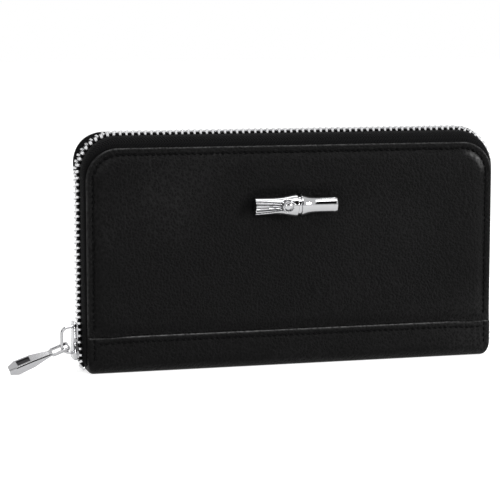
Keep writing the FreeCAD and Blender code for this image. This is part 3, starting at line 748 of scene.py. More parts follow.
def steps(first: float, last: float, size: float) -> list[float]:
    """Evenly spaced values from first to last, about `size` apart."""
    count = max(1, round(abs(last - first) / size))
    return [first + (last - first) * k / count for k in range(count + 1)]


def mirrored(values: Sequence[float]) -> list[float]:
    """Rising negative values, then 0, then the same values on the other side."""
    return [*values, 0.0, *(-value for value in reversed(values))]


def bell(offset: float, width: float) -> float:
    """Bell curve of height 1, at an offset from its middle."""
    return math.exp(-((offset / width) ** 2))


def round_corner(x: float, z: float, half: float, top: float,
                 corner: float) -> tuple[float, float]:
    """Move a point of a square sheet so that its upper corners become round.

    Args:
        x: Place across the sheet.
        z: Place up the sheet.
        half: Half the sheet's width.
        top: Height of its upper edge.
        corner: Radius of the corners.

    Returns:
        The point's new X and Z.
    """
    over, up = abs(x) - (half - corner), z - (top - corner)
    if over > 0 and up > 0:
        scale = max(over, up) / math.hypot(over, up)
        x = math.copysign(half - corner + over * scale, x)
        z = top - corner + up * scale
    return x, z


def ease(value: float) -> float:
    """Smooth step of a value held between 0 and 1."""
    held = min(1.0, max(0.0, value))
    return held * held * (3 - 2 * held)


def half_turn(bm: bmesh.types.BMesh) -> None:
    """Turn a front piece into its back twin."""
    bmesh.ops.rotate(bm, cent=(0, 0, 0), matrix=Matrix.Rotation(math.pi, 3, "Z"), verts=bm.verts)


# ---------------------------------------------------------------- shared sizes


@dataclass(frozen=True)
class ArcLine:
    """Line that runs up one side, round the top and down the other side.

    A place on it is a signed number of stretches from the top middle: 1 ends
    the level run, 2 the corner, 3 the upright run and 4 the tail.
    """

    half: float
    top: float
    corner: float
    foot: float
    tail: float
    tail_angle: float = math.radians(38.0)

    @property
    def lengths(self) -> tuple[float, float, float, float]:
        """Lengths of the four stretches."""
        return (self.half - self.corner, self.corner * math.pi / 2,
                self.top - self.corner - self.foot, self.tail * self.tail_angle)

    @property
    def end(self) -> float:
        """Distance from the top middle to the end of the tail."""
        return sum(self.lengths)

    def share(self, distance: float) -> float:
        """Stretch number at a distance.

        Args:
            distance: Signed distance from the top middle.

        Returns:
            Signed stretch number.
        """
        left, whole = abs(distance), 0
        while whole < 3 and left > self.lengths[whole]:
            left -= self.lengths[whole]
            whole += 1
        return math.copysign(whole + left / self.lengths[whole], distance)

    def distance(self, share: float) -> float:
        """Distance at a stretch number.

        Args:
            share: Signed stretch number.

        Returns:
            Signed distance from the top middle.
        """
        whole = min(3, int(abs(share)))
        way = sum(self.lengths[:whole]) + (abs(share) - whole) * self.lengths[whole]
        return math.copysign(way, share)

    def at(self, share: float) -> tuple[float, float, float, float]:
        """Point and outward direction at a signed stretch number.

        Args:
            share: Signed stretch number.

        Returns:
            X, Z of the point and X, Z of the outward direction.
        """
        sign = math.copysign(1.0, share)
        place = abs(share)
        if place <= 1:
            x, z, turn = place * (self.half - self.corner), self.top, 0.0
        elif place <= 2:
            turn = (place - 1) * math.pi / 2
            x = self.half - self.corner + self.corner * math.sin(turn)
            z = self.top - self.corner + self.corner * math.cos(turn)
        elif place <= 3:
            turn = math.pi / 2
            x = self.half
            z = self.top - self.corner - (place - 2) * (self.top - self.corner - self.foot)
        else:
            turn = math.pi / 2 + (place - 3) * self.tail_angle
            x = self.half - self.tail + self.tail * math.sin(turn)
            z = self.foot + self.tail * math.cos(turn)
        return sign * x, z, sign * math.sin(turn), math.cos(turn)


@dataclass(frozen=True)
class WalletSizes:
    """Sizes shared by several pieces, in millimetres, read from the frame."""

    cover_half: float
    cover_foot: float
    cover_top: float
    cover_face: float
    cover_back: float
    band_face: float
    band_top: float
    chain_half: float
    chain_top: float
    cover_corner: float = 14.0
    chain_corner: float = 17.0
    tooth_tall: float = 2.4
    row_root: float = 2.9
    row_reach: float = 0.8
    pitch: float = 2.75
    spread: float = 1.6
    spread_foot: float = 9.0
    spread_head: float = 14.0
    tail_start: float = 6.5
    tail_radius: float = 6.0
    seam: float = 2.9
    stitch: float = 2.6

    @classmethod
    def from_frame(cls) -> "WalletSizes":
        """Read the main sizes off the frame's nodes.

        Returns:
            The sizes.
        """
        cover_low, cover_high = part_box("front_cover")
        band_low, band_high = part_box("front_band")
        teeth_low, teeth_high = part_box("front_teeth")
        lift = cls.tooth_tall / 2
        return cls(cover_half=cover_high.x / MM, cover_foot=cover_low.z / MM,
                   cover_top=cover_high.z / MM, cover_face=-cover_low.y / MM,
                   cover_back=-cover_high.y / MM, band_face=-band_low.y / MM,
                   band_top=band_high.z / MM, chain_half=teeth_high.x / MM - lift,
                   chain_top=teeth_high.z / MM - lift)

    @property
    def chain(self) -> ArcLine:
        """Line of the closed chain."""
        return ArcLine(self.chain_half, self.chain_top, self.chain_corner, self.tail_start,
                       self.tail_radius)

    @property
    def rim(self) -> ArcLine:
        """Line just inside the covers' edges, where the tape is sewn in."""
        return ArcLine(self.cover_half - 0.5, self.cover_top - 0.5, self.cover_corner - 0.5,
                       self.tail_start, self.tail_radius - 1.5)

    def parting(self, height: float) -> float:
        """How far a tooth row stands away from its closed place at a height."""
        gap = (self.spread_head - height) / (self.spread_head - self.spread_foot)
        return self.spread * min(1.0, max(0.0, gap))


# ---------------------------------------------------------------- stitches


@dataclass(frozen=True)
class Stitch:
    """One sunk stitch of thread."""

    length: float = 1.9
    thick: float = 0.36
    slant: float = math.radians(7.0)

    def template(self) -> bmesh.types.BMesh:
        """Small capsule along X, its crown towards -Y.

        Returns:
            The capsule.
        """
        bm = bmesh.new()
        bmesh.ops.create_uvsphere(bm, u_segments=6, v_segments=5, radius=1.0,
                                  matrix=Matrix.Rotation(math.pi / 2, 4, "Y"))
        bmesh.ops.scale(bm, vec=(self.length / 2, self.thick, self.thick * 1.15), verts=bm.verts)
        return bm

    def frame(self, place: Vector, run: Vector, out: Vector) -> Matrix:
        """Frame of a stitch.

        Args:
            place: Its middle on the leather.
            run: Direction of the seam.
            out: Direction off the leather.

        Returns:
            Matrix that carries the template there.
        """
        x = run.normalized()
        y = -out.normalized()
        z = x.cross(y).normalized()
        y = z.cross(x).normalized()
        turn = Matrix((x, y, z)).transposed().to_4x4()
        return Matrix.Translation(place) @ turn @ Matrix.Rotation(self.slant, 4, "Y")


def sew(name: str, frames: list[Matrix], finishes: Finishes, slot: str,
        body: str | None) -> bpy.types.Object:
    """Make one object of all stitches of a seam."""
    bm = repeat(Stitch().template(), frames)
    return settle(bm, name, Dress(finishes.thread, slot, body, smooth=80.0))


# ---------------------------------------------------------------- covers


@dataclass
class Cover:
    """Crowned leather cover with a sunk perimeter seam."""

    side: Side
    sizes: WalletSizes
    finishes: Finishes
    swell: float = 1.15
    settle_to: float = 0.36
    seam_width: float = 0.45
    seam_depth: float = 0.5
    edge_roll: float = 0.55
    edge_drop: float = 0.45
    crown_rise: float = 2.8
    crown_fade: float = 17.0
    rim_rise: float = 0.06
    wave: float = 0.6
    small_wave: float = 0.2
    ripple: float = 0.03
    tight_ripple: float = 0.12
    bar_middle: tuple[float, float] = (-0.7, 71.75)
    bar_half: float = 19.0
    bar_tall: float = 3.6
    bar_press: float = 3.4
    bar_sink: float = 0.12
    band_sink: float = 0.2
    worn_edge: float = 0.3
    worn_right: float = 0.42
    worn_left: float = 0.1

    @property
    def seed(self) -> float:
        """Place in the noise, so that each side has its own undulations."""
        return 3.7 if self.side is Side.FRONT else 11.2

    def lines(self, full: float) -> list[float]:
        """Distances of the grid lines from an edge, dense at the seam.

        Args:
            full: The last distance.

        Returns:
            The distances, rising.
        """
        close = [0.0, 0.2, 0.5, 0.9, 1.3, 1.8, 2.3, 2.65, 2.9, 3.05, 3.2, 3.35, 3.5, 3.8, 4.3,
                 5.0, 5.9, 7.0, 8.3, 9.8, 11.4, 12.8, self.sizes.cover_corner]
        return close + steps(self.sizes.cover_corner, full, self.sizes.stitch / 3)[1:]

    def past_corner(self, x: float, z: float) -> tuple[float, float]:
        """How far a point lies beyond its corner's centre.

        Args:
            x: Place across the cover.
            z: Place up the cover.

        Returns:
            Distance sideways and distance up, negative on the inner side.
        """
        size = self.sizes
        return (abs(x) - (size.cover_half - size.cover_corner),
                z - (size.cover_top - size.cover_corner))

    def edge_distance(self, x: float, z: float) -> float:
        """Distance from a point to the nearest free edge.

        Args:
            x: Place across the cover.
            z: Place up the cover.

        Returns:
            The distance.
        """
        size = self.sizes
        across, up = self.past_corner(x, z)
        if across > 0 and up > 0:
            return size.cover_corner - math.hypot(across, up)
        return min(size.cover_half - abs(x), size.cover_top - z)

    def run(self, x: float, z: float) -> float:
        """Distance along the seam from the top middle.

        Args:
            x: Place across the cover.
            z: Place up the cover.

        Returns:
            The distance, the same on both sides.
        """
        size = self.sizes
        across, up = self.past_corner(x, z)
        level = size.cover_half - size.cover_corner
        radius = size.cover_corner - size.seam
        if across <= 0:
            return abs(x)
        if up <= 0:
            return level + radius * math.pi / 2 - up
        return level + radius * math.atan2(across, up)

    def relief(self, x: float, z: float) -> float:
        """Height of the leather over its flat level.

        Args:
            x: Place across the cover.
            z: Place up the cover.

        Returns:
            The height.
        """
        size = self.sizes
        inside = self.edge_distance(x, z)
        roll = self.edge_drop * max(0.0, 1 - inside / self.edge_roll) ** 2
        pull = 0.5 + 0.5 * math.cos(2 * math.pi * self.run(x, z) / size.stitch)
        groove = self.seam_depth * pull * bell(inside - size.seam, self.seam_width)
        rim = self.rim_rise * math.sin(math.pi * min(1.0, inside / size.seam))
        past = max(0.0, inside - size.seam)
        crown = self.swell * (1 - math.exp(-past / self.crown_rise))
        crown *= self.settle_to + (1 - self.settle_to) * bell(past, self.crown_fade)
        broad = noise.noise(Vector((x / 41, z / 31, self.seed)))
        small = noise.noise(Vector((x / 15, z / 13, self.seed + 5)))
        ripple = noise.noise(Vector((x / 5.5, z / 5.5, self.seed + 9)))
        tight = math.exp(-past / 3.0) * ease(past / 1.2)
        wave = self.wave * broad + self.small_wave * small
        wave += (self.ripple + self.tight_ripple * tight) * ripple
        height = rim + (crown + wave) * ease(past / 4.0 + 0.25) - roll - groove
        return self.pressed(x, z, height)

    def burnish(self, place: Vector) -> float:
        """Polish rubbed into the edge and into the swell inside the top corners.

        Args:
            place: Point of the leather.

        Returns:
            Weight of the polish.
        """
        across, up = self.past_corner(place.x, place.z)
        inside = self.edge_distance(place.x, place.z)
        corner = ease((across + 1.0) / 6.0) * ease((up + 1.0) / 6.0)
        worn = self.worn_right if place.x > 0 else self.worn_left
        swell = bell(inside - self.sizes.seam - 1.7, 1.1)
        return self.worn_edge * bell(inside - 0.3, 0.3) + worn * corner * swell

    def pressed(self, x: float, z: float, height: float) -> float:
        """Hold the leather down round the bar and under the base band.

        Args:
            x: Place across the cover.
            z: Place up the cover.
            height: Height of the free leather.

        Returns:
            The height with the leather held down.
        """
        size = self.sizes
        if self.side is Side.FRONT:
            beyond = max(0.0, abs(x - self.bar_middle[0]) - self.bar_half)
            above = max(0.0, abs(z - self.bar_middle[1]) - self.bar_tall)
            near = bell(math.hypot(beyond, above), self.bar_press)
            height = height * (1 - near) - self.bar_sink * near
        clear = ease((z - size.band_top - self.band_sink) / 5.0)
        return height * clear - self.band_sink * (1 - clear)

    def build(self) -> None:
        """Make the panel and its seam."""
        size = self.sizes
        xs = mirrored([value - size.cover_half for value in self.lines(size.cover_half)[:-1]])
        down = self.lines(size.cover_top - size.cover_foot)
        zs = [size.cover_top - value for value in reversed(down)]

        def place(x: float, z: float) -> Vector:
            """Round the corners and lift the relief."""
            x, z = round_corner(x, z, size.cover_half, size.cover_top, size.cover_corner)
            return Vector((x, -size.cover_face - self.relief(x, z), z))

        bm = chart_grid(xs, zs, place)
        rub(bm, self.burnish)
        close_back(bm, (-size.cover_back - 0.35, -size.cover_back))
        name = self.side.value
        if self.side is Side.BACK:
            half_turn(bm)
        panel = settle(bm, f"{name}_cover_panel",
                       Dress(self.finishes.cover, "smooth_leather", self.side.body,
                             (f"{name}_cover",), smooth=75.0))
        sew(f"{name}_cover_stitches", self.seam_frames(), self.finishes, "smooth_leather",
            self.side.body)

    def seam_frames(self) -> list[Matrix]:
        """Place the perimeter stitches above the base band.

        Returns:
            Their frames.
        """
        size = self.sizes
        line = ArcLine(size.cover_half - size.seam, size.cover_top - size.seam,
                       size.cover_corner - size.seam, size.band_top + 0.6, 1.0)
        reach = sum(line.lengths[:3])
        count = int(reach / size.stitch)
        frames = []
        for k in range(-count, count):
            x, z, out_x, out_z = line.at(line.share((k + 0.5) * size.stitch))
            height = self.relief(x, z)
            place = Vector((x, -size.cover_face - height - 0.05, z))
            frames.append(Stitch().frame(place, Vector((out_z, 0, -out_x)), Vector((0, -1, 0))))
        if self.side is Side.BACK:
            turn = Matrix.Rotation(math.pi, 4, "Z")
            frames = [turn @ item for item in frames]
        return frames


# ---------------------------------------------------------------- base band


@dataclass
class BaseBand:
    """Leather band folded round the spine, its edges turned and sewn down."""

    sizes: WalletSizes
    finishes: Finishes
    leather: float = 0.9
    rounding: float = 5.0
    seam_below: float = 2.5
    end_round: float = 3.0
    edge_drop: float = 0.55
    end_drop: float = 0.6
    seam_depth: float = 0.26
    upright_depth: float = 0.28
    swell: float = 0.3
    wave: float = 0.12
    dip: float = 0.45
    dip_at: float = 84.0

    @property
    def legs(self) -> tuple[float, float, float]:
        """Lengths of a leg, a corner and half the flat base."""
        return (self.sizes.band_top - self.rounding, self.rounding * math.pi / 2,
                self.sizes.band_face - self.rounding)

    def section(self, run: float) -> tuple[float, float, float, float]:
        """Section point and outward direction.

        Args:
            run: Distance from the middle of the base, negative to the front.

        Returns:
            Y, Z of the point and Y, Z of the outward direction.
        """
        _, bend, flat = self.legs
        sign = math.copysign(1.0, run)
        way = abs(run)
        if way <= flat:
            return run, 0.0, 0.0, -1.0
        if way <= flat + bend:
            turn = (way - flat) / self.rounding
            y = flat + self.rounding * math.sin(turn)
            return (sign * y, self.rounding * (1 - math.cos(turn)),
                    sign * math.sin(turn), -math.cos(turn))
        return sign * self.sizes.band_face, self.rounding + way - flat - bend, sign, 0.0

    def relief(self, x: float, run: float) -> float:
        """Height of the leather over its section; negative where it is pressed in.

        Args:
            x: Place along the band.
            run: Distance from the middle of the base, negative to the front.

        Returns:
            The height.
        """
        size = self.sizes
        leg, bend, flat = self.legs
        total = leg + bend + flat
        below = total - abs(run)
        end = size.cover_half - abs(x)
        roll = self.edge_drop * max(0.0, 1 - below / 1.1) ** 2
        roll += self.end_drop * max(0.0, 1 - end / 1.2) ** 2
        pull = 0.55 + 0.45 * math.cos(2 * math.pi * x / size.stitch)
        seam = self.seam_depth * pull * bell(below - self.seam_below, 0.45)
        seam *= ease((end - size.seam + 0.8) / 0.8)
        pull = 0.55 + 0.45 * math.cos(2 * math.pi * below / size.stitch)
        upright = self.upright_depth * pull * bell(end - size.seam, 0.42)
        swell = self.swell * (1 - math.exp(-max(0.0, below - self.seam_below) / 2.0))
        swell *= 1 - math.exp(-max(0.0, end - size.seam) / 2.2)
        wave = self.wave * noise.noise(Vector((x / 23, run / 9, 2.2)))
        on_side = ease((abs(run) - flat - 0.5 * bend) / (0.5 * bend))
        return (swell + wave) * on_side - (roll + (seam + upright) * on_side)

    def place(self, x: float, run: float) -> Vector:
        """Point of the band's outside, its ends rounded and its upper edge dipped.

        Args:
            x: Place along the band.
            run: Distance from the middle of the base, negative to the front.

        Returns:
            The point, never below the flat base.
        """
        y, z, out_y, out_z = self.section(run)
        lift = self.relief(x, run)
        end = max(0.0, abs(x) - (self.sizes.cover_half - self.end_round))
        rise = self.end_round - math.sqrt(max(0.0, self.end_round ** 2 - end ** 2))
        rise *= max(0.0, 1 - z / 9.0)
        dip = self.dip * bell(abs(x) - self.dip_at, 7.0) * ease((z - 8.0) / 8.5)
        return Vector((x, y + out_y * lift, max(0.0, z + out_z * min(0.0, lift)) + rise - dip))

    def build(self) -> None:
        """Make the band and its stitches."""
        size = self.sizes
        leg, bend, flat = self.legs
        total = leg + bend + flat
        ends = [0.0, 0.2, 0.5, 0.9, 1.4, 2.0, 2.6, 3.0, 3.2, 3.4, 3.8, 4.6, 5.8, 7.4]
        xs = [value - size.cover_half for value in ends]
        xs += steps(xs[-1], 0.0, size.stitch / 3)[1:-1]
        edge = [0.0, 0.2, 0.5, 0.8, 1.1, 1.5, 1.9, 2.2, 2.4, 2.6, 2.9, 3.4, 4.2, 5.2, 6.4, 7.6,
                8.8, 10.0, leg]
        runs = [value - total for value in edge]
        runs += steps(-(bend + flat), -flat, 0.8)[1:] + steps(-flat, 0.0, 2.3)[1:-1]
        bm = chart_grid(mirrored(xs), mirrored(runs), self.place)
        rub(bm, lambda place: 0.5 * bell(place.z - size.band_top, 0.5))
        thicken(bm, self.leather * 0.85, Vector((0, 0, -1)))
        band = settle(bm, "base_band_leather",
                      Dress(self.finishes.band, "band_leather", None,
                            ("base_band", "front_band"), smooth=75.0))
        self.bend(band)
        for side, sign in ((Side.FRONT, -1.0), (Side.BACK, 1.0)):
            sew(f"{side.value}_band_stitches", self.seam_frames(sign), self.finishes,
                "band_leather", side.body)

    def bend(self, piece: bpy.types.Object) -> None:
        """Bake the band's placement into its mesh.

        Args:
            piece: The band.
        """
        flat = (self.sizes.band_face - self.rounding) * MM
        -flat
        self.rounding * MM
        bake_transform(piece)

    def seam_frames(self, sign: float) -> list[Matrix]:
        """Place the stitches of the level and the two upright seams on one side.

        Args:
            sign: -1 for the front, 1 for the back.

        Returns:
            Their frames.
        """
        size = self.sizes
        leg, bend, flat = self.legs
        total = leg + bend + flat
        out = Vector((0, sign, 0))
        reach = size.cover_half - size.seam
        frames = []
        count = int(reach / size.stitch)
        for k in range(-count, count):
            spot = self.place((k + 0.5) * size.stitch, sign * (total - self.seam_below))
            frames.append(Stitch().frame(spot + out * 0.05, Vector((1, 0, 0)), out))
        for edge in (-reach, reach):
            for k in range(int((leg + 1.0) / size.stitch)):
                spot = self.place(edge, sign * (total - (k + 0.5) * size.stitch))
                frames.append(Stitch().frame(spot + out * 0.05, Vector((0, 0, 1)), out))
        return frames


# ---------------------------------------------------------------- main zip


@dataclass
class ZipHalf:
    """Woven tape, tooth row and end stops of one half."""

    side: Side
    sizes: WalletSizes
    finishes: Finishes
    thick: float = 0.45
    flat_end: float = 5.2
    slope_end: float = 9.45
    tuck: float = 3.5
    tooth_long: float = 1.25
    stop_long: float = 1.4
    stop_gap: float = 0.8
    corner_bulge: float = 3.3
    tape_drop: float = 0.8
    bead_radius: float = 0.62
    tape_wide: float = 14.0
    tape_bend: Bend = ((0, -0.003, 0.022), (0, -0.00874, 0.02323))
    row_bend: Bend = ((0, 0, 0.0236), (0, 0, 0.0516))

    def profile(self, share: float) -> tuple[float, float, float]:
        """Tape section.

        Args:
            share: 0 at the teeth, 1 at the hidden margin.

        Returns:
            Distance from the middle plane, weight of the chain line, and how
            far the tape is tucked inwards.
        """
        start = self.sizes.row_root - 0.25
        if share <= 0.35:
            return start + (self.flat_end - start) * share / 0.35, 1.0, 0.0
        if share <= 0.85:
            turn = (share - 0.35) / 0.5 * math.pi / 2
            y = self.flat_end + (self.slope_end - self.flat_end) * math.sin(turn)
            return y, math.cos(turn), 0.0
        return self.slope_end, 0.0, self.tuck * (share - 0.85) / 0.15

    def tape_point(self, stretch: float, share: float) -> Vector:
        """Point of the front tape's outside.

        Args:
            stretch: Signed stretch number on the chain line.
            share: 0 at the teeth, 1 at the hidden margin.

        Returns:
            The point.
        """
        x, z, out_x, out_z = self.sizes.chain.at(stretch)
        edge_x, edge_z, edge_out_x, edge_out_z = self.sizes.rim.at(stretch)
        y, weight, tuck = self.profile(share)
        if abs(stretch) > 2:
            y += self.sizes.parting(z) * max(0.0, 1 - share / 0.35)
        crown = (0.12 * math.sin(math.pi * min(1.0, share / 0.6)) - self.tape_drop) * weight
        if self.side is Side.BACK:
            bend = max(0.0, 1 - abs(abs(stretch) - 1.5) / 0.75)
            crown += self.corner_bulge * ease(bend) * math.sin(math.pi * min(1.0, share / 0.9))
        x += out_x * crown
        z += out_z * crown
        return Vector((edge_x + (x - edge_x) * weight - edge_out_x * tuck, -y,
                       edge_z + (z - edge_z) * weight - edge_out_z * tuck))

    def build(self) -> None:
        """Make tape, bead, teeth and stops."""
        name = self.side.value
        self.finish(self.tape(), f"{name}_zip_tape",
                    Dress(self.finishes.tape, "zip_tape", replaces=(f"{name}_tape",), smooth=70.0),
                    self.tape_bend)
        self.finish(self.bead(), f"{name}_zip_bead",
                    Dress(self.finishes.thread, "zip_tape", smooth=70.0), self.row_bend)
        self.finish(self.teeth(), f"{name}_tooth_row",
                    Dress(self.finishes.teeth, "zip_metal", replaces=(f"{name}_teeth",),
                          smooth=35.0), self.row_bend)
        self.finish(self.stops(), f"{name}_end_stops",
                    Dress(self.finishes.teeth, "zip_metal",
                          replaces=(f"{name}_stop_left", f"{name}_stop_right"), smooth=35.0),
                    self.row_bend)

    def finish(self, bm: bmesh.types.BMesh, name: str, dress: Dress, bend: Bend) -> None:
        """Turn the back twin round, settle the piece, and bake the front one's placement.

        Args:
            bm: The piece as built for the front.
            name: Name of the piece.
            dress: How it is dressed.
            bend: Points where the front piece leaves the back and joins the front, metres; not
                used.
        """
        if self.side is Side.BACK:
            half_turn(bm)
            settle(bm, name, replace(dress, body=self.side.body))
            return
        piece = settle(bm, name, dress)
        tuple(bend[0])
        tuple(bend[1])
        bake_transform(piece)

    def tape(self) -> bmesh.types.BMesh:
        """Sweep the tape along the chain line, its map in millimetres.

        Returns:
            The tape.
        """
        line = self.sizes.chain
        left = [-(number + value) for number, size in enumerate((2.0, 1.3, 1.5, 0.8))
                for value in steps(0.0, 1.0, size / line.lengths[number])[1:]]
        stretches = mirrored(left[::-1])
        lookup = {line.distance(value): value for value in stretches}
        bm = chart_grid(list(lookup), [self.tape_wide * k / 24 for k in range(25)],
                        lambda run, across: self.tape_point(lookup[run], across / self.tape_wide))
        thicken(bm, self.thick, Vector((0, 0, 1)))
        return bm

    def tooth(self) -> bmesh.types.BMesh:
        """One tooth: crimped shank, waist and rounded head, long axis along Y.

        Returns:
            The tooth.
        """
        size = self.sizes
        long = size.row_root + size.row_reach
        bm = block((self.tooth_long, long, size.tooth_tall), (0, -size.row_root + long / 2, 0))
        head = [vert for vert in bm.verts if vert.co.y > 0]
        bmesh.ops.scale(bm, vec=(0.86, 1.0, 0.8), verts=head)
        sharp = [edge for edge in bm.edges if abs(edge.verts[0].co.y - edge.verts[1].co.y) > 1]
        soften(bm, 0.3, 2, sharp)
        ends = [edge for edge in bm.edges if edge.is_manifold
                and edge.calc_face_angle(0.0) > math.radians(60)]
        soften(bm, 0.22, 1, ends)
        return bm

    def frame(self, distance: float) -> Matrix:
        """Place of a tooth.

        Args:
            distance: Signed distance on the chain line from the top middle.

        Returns:
            Its frame, X along the line and Z outwards.
        """
        line = self.sizes.chain
        x, z, out_x, out_z = line.at(line.share(distance))
        away = self.sizes.parting(z)
        turn = Matrix.Rotation(math.atan2(out_x, out_z), 4, "Y")
        return Matrix.Translation((x, -away, z)) @ turn

    def teeth(self) -> bmesh.types.BMesh:
        """Set the whole row.

        Returns:
            Its teeth.
        """
        size = self.sizes
        count = int((size.chain.end - 1.2) / size.pitch)
        places = [self.frame((k + 0.25) * size.pitch) for k in range(-count, count)]
        return repeat(self.tooth(), places)

    def bead(self) -> bmesh.types.BMesh:
        """Woven bead that the teeth clasp.

        Returns:
            The bead.
        """
        size = self.sizes
        ring = [(self.bead_radius * math.cos(a), self.bead_radius * math.sin(a))
                for a in steps(0.0, 2 * math.pi, math.pi / 5)[:-1]]
        offset = Matrix.Translation((0, 0.8 - size.row_root, -0.35)) @ Matrix.Rotation(
            math.pi / 2, 4, "Y")
        bm = bmesh.new()
        sweep(bm, ring, [self.frame(value) @ offset
                         for value in steps(-size.chain.end, size.chain.end, 1.4)])
        return bm

    def stops(self) -> bmesh.types.BMesh:
        """Crimp a clamp past each end of the row.

        Returns:
            Both clamps.
        """
        size = self.sizes
        bm = block((self.stop_long, size.row_root, size.tooth_tall), (0, -size.row_root / 2, 0))
        soften(bm, 0.35, 2)
        return repeat(bm, [self.frame(sign * size.chain.end)
                           @ Matrix.Translation((sign * self.stop_gap, 0, 0)) for sign in (-1, 1)])


# ---------------------------------------------------------------- slider and pull


@dataclass
class MainSlider:
    """Slider body and bridge on the left run."""

    sizes: WalletSizes
    finishes: Finishes
    foot: float = 5.5
    long: float = 16.8
    gap: float = 1.5
    plate: float = 1.2
    narrow: float = 4.0
    flange: float = 0.75
    flange_gap: tuple[float, float] = (7.3, 9.9)
    strap: float = 1.3
    strap_wide: float = 2.0
    strap_foot: float = 2.6
    strap_head: float = 15.0
    strap_out: float = 8.1

    def point(self, y: float, z: float, out: float) -> Vector:
        """Point at a distance outwards from the chain line."""
        return Vector((-self.sizes.chain_half - out, y, self.foot + z))

    def outline(self) -> list[tuple[float, float]]:
        """Shield outline of a plate, widest at the mouth.

        Returns:
            Its corners.
        """
        broad, slim = self.narrow + self.sizes.spread, self.narrow
        low = self.sizes.spread_foot - self.foot
        high = self.sizes.spread_head - self.foot
        half = [(slim - 1.2, 0.0), (broad - 0.7, 0.45), (broad, 1.5), (broad, low),
                (slim + 0.7, (low + high) / 2), (slim, high), (slim, self.long - 1.6),
                (slim - 0.9, self.long)]
        return half + [(-y, z) for y, z in reversed(half)]

    def build(self) -> None:
        """Make the two metal pieces."""
        metal = self.finishes.slider
        settle(self.body(), "main_slider", Dress(metal, "polished_metal", "zip_slider",
                                                 ("slider_body",), smooth=30.0))
        settle(self.bridge(), "slider_strap", Dress(metal, "polished_metal", "zip_slider",
                                                    ("slider_bridge",), smooth=30.0))

    def body(self) -> bmesh.types.BMesh:
        """Join two flanged plates by the post.

        Returns:
            The body.
        """
        whole = bmesh.new()
        for low, high in ((self.gap, self.gap + self.plate), (-self.gap - self.plate, -self.gap)):
            part = outline_plate(self.outline(), low, high, self.point)
            soften(part, 0.3, 2)
            absorb(whole, part)
        for sign in (-1, 1):
            for start, end in ((self.gap - self.flange, self.gap + 0.2),
                               (-self.gap - 0.2, -self.gap + self.flange)):
                for wing in self.wings():
                    part = outline_plate([(sign * y, z) for y, z in wing], start, end, self.point)
                    soften(part, 0.18, 1)
                    absorb(whole, part)
        post = [(-0.6, 0.6), (0.6, 0.6), (0.45, 2.8), (-0.45, 2.8)]
        absorb(whole, outline_plate(post, -self.gap - 0.2, self.gap + 0.2, self.point))
        return whole

    def wings(self) -> tuple[list[tuple[float, float]], list[tuple[float, float]]]:
        """Outlines of the flanges of one side.

        Returns:
            The lower and the upper flange.
        """
        low = self.sizes.spread_foot - self.foot
        high = self.sizes.spread_head - self.foot
        broad = self.narrow + self.sizes.spread
        start, end = self.flange_gap

        def lean(z: float) -> float:
            """Outer edge of the plate at a height."""
            return broad + (self.narrow - broad) * (z - low) / (high - low)

        inner, top = self.narrow - self.flange, self.long - 1.7
        below = [(broad - self.flange, 1.4), (broad, 1.4), (broad, low), (lean(start), start),
                 (lean(start) - self.flange, start), (broad - self.flange, low)]
        above = [(self.narrow, end), (self.narrow, top), (inner, top), (inner, end)]
        return below, above

    def bridge(self) -> bmesh.types.BMesh:
        """Bend the D-shaped strap over the outer plate.

        Returns:
            The strap.
        """
        out, bend = self.strap_out - self.strap / 2, 3.0
        low, high = self.strap_foot + self.strap / 2, self.strap_head - self.strap / 2
        plate = self.gap + self.plate - 0.3
        path = [(plate, low - 0.35), (out - bend - 0.6, low - 0.1)]
        path += [(out - bend + bend * math.sin(a), low + bend - bend * math.cos(a))
                 for a in steps(0.0, math.pi / 2, 0.2)]
        path += [(out, (low + high) / 2)]
        path += [(out - bend + bend * math.cos(a), high - bend + bend * math.sin(a))
                 for a in steps(0.0, math.pi / 2, 0.2)]
        path += [(out - bend - 0.6, high + 0.1), (plate, high + 0.35)]
        bm = bmesh.new()
        sweep(bm, bar_section(self.strap_wide / 2, self.strap / 2),
              path_frames([self.point(0, z, x) for x, z in path], Vector((0, 1, 0))))
        return bm


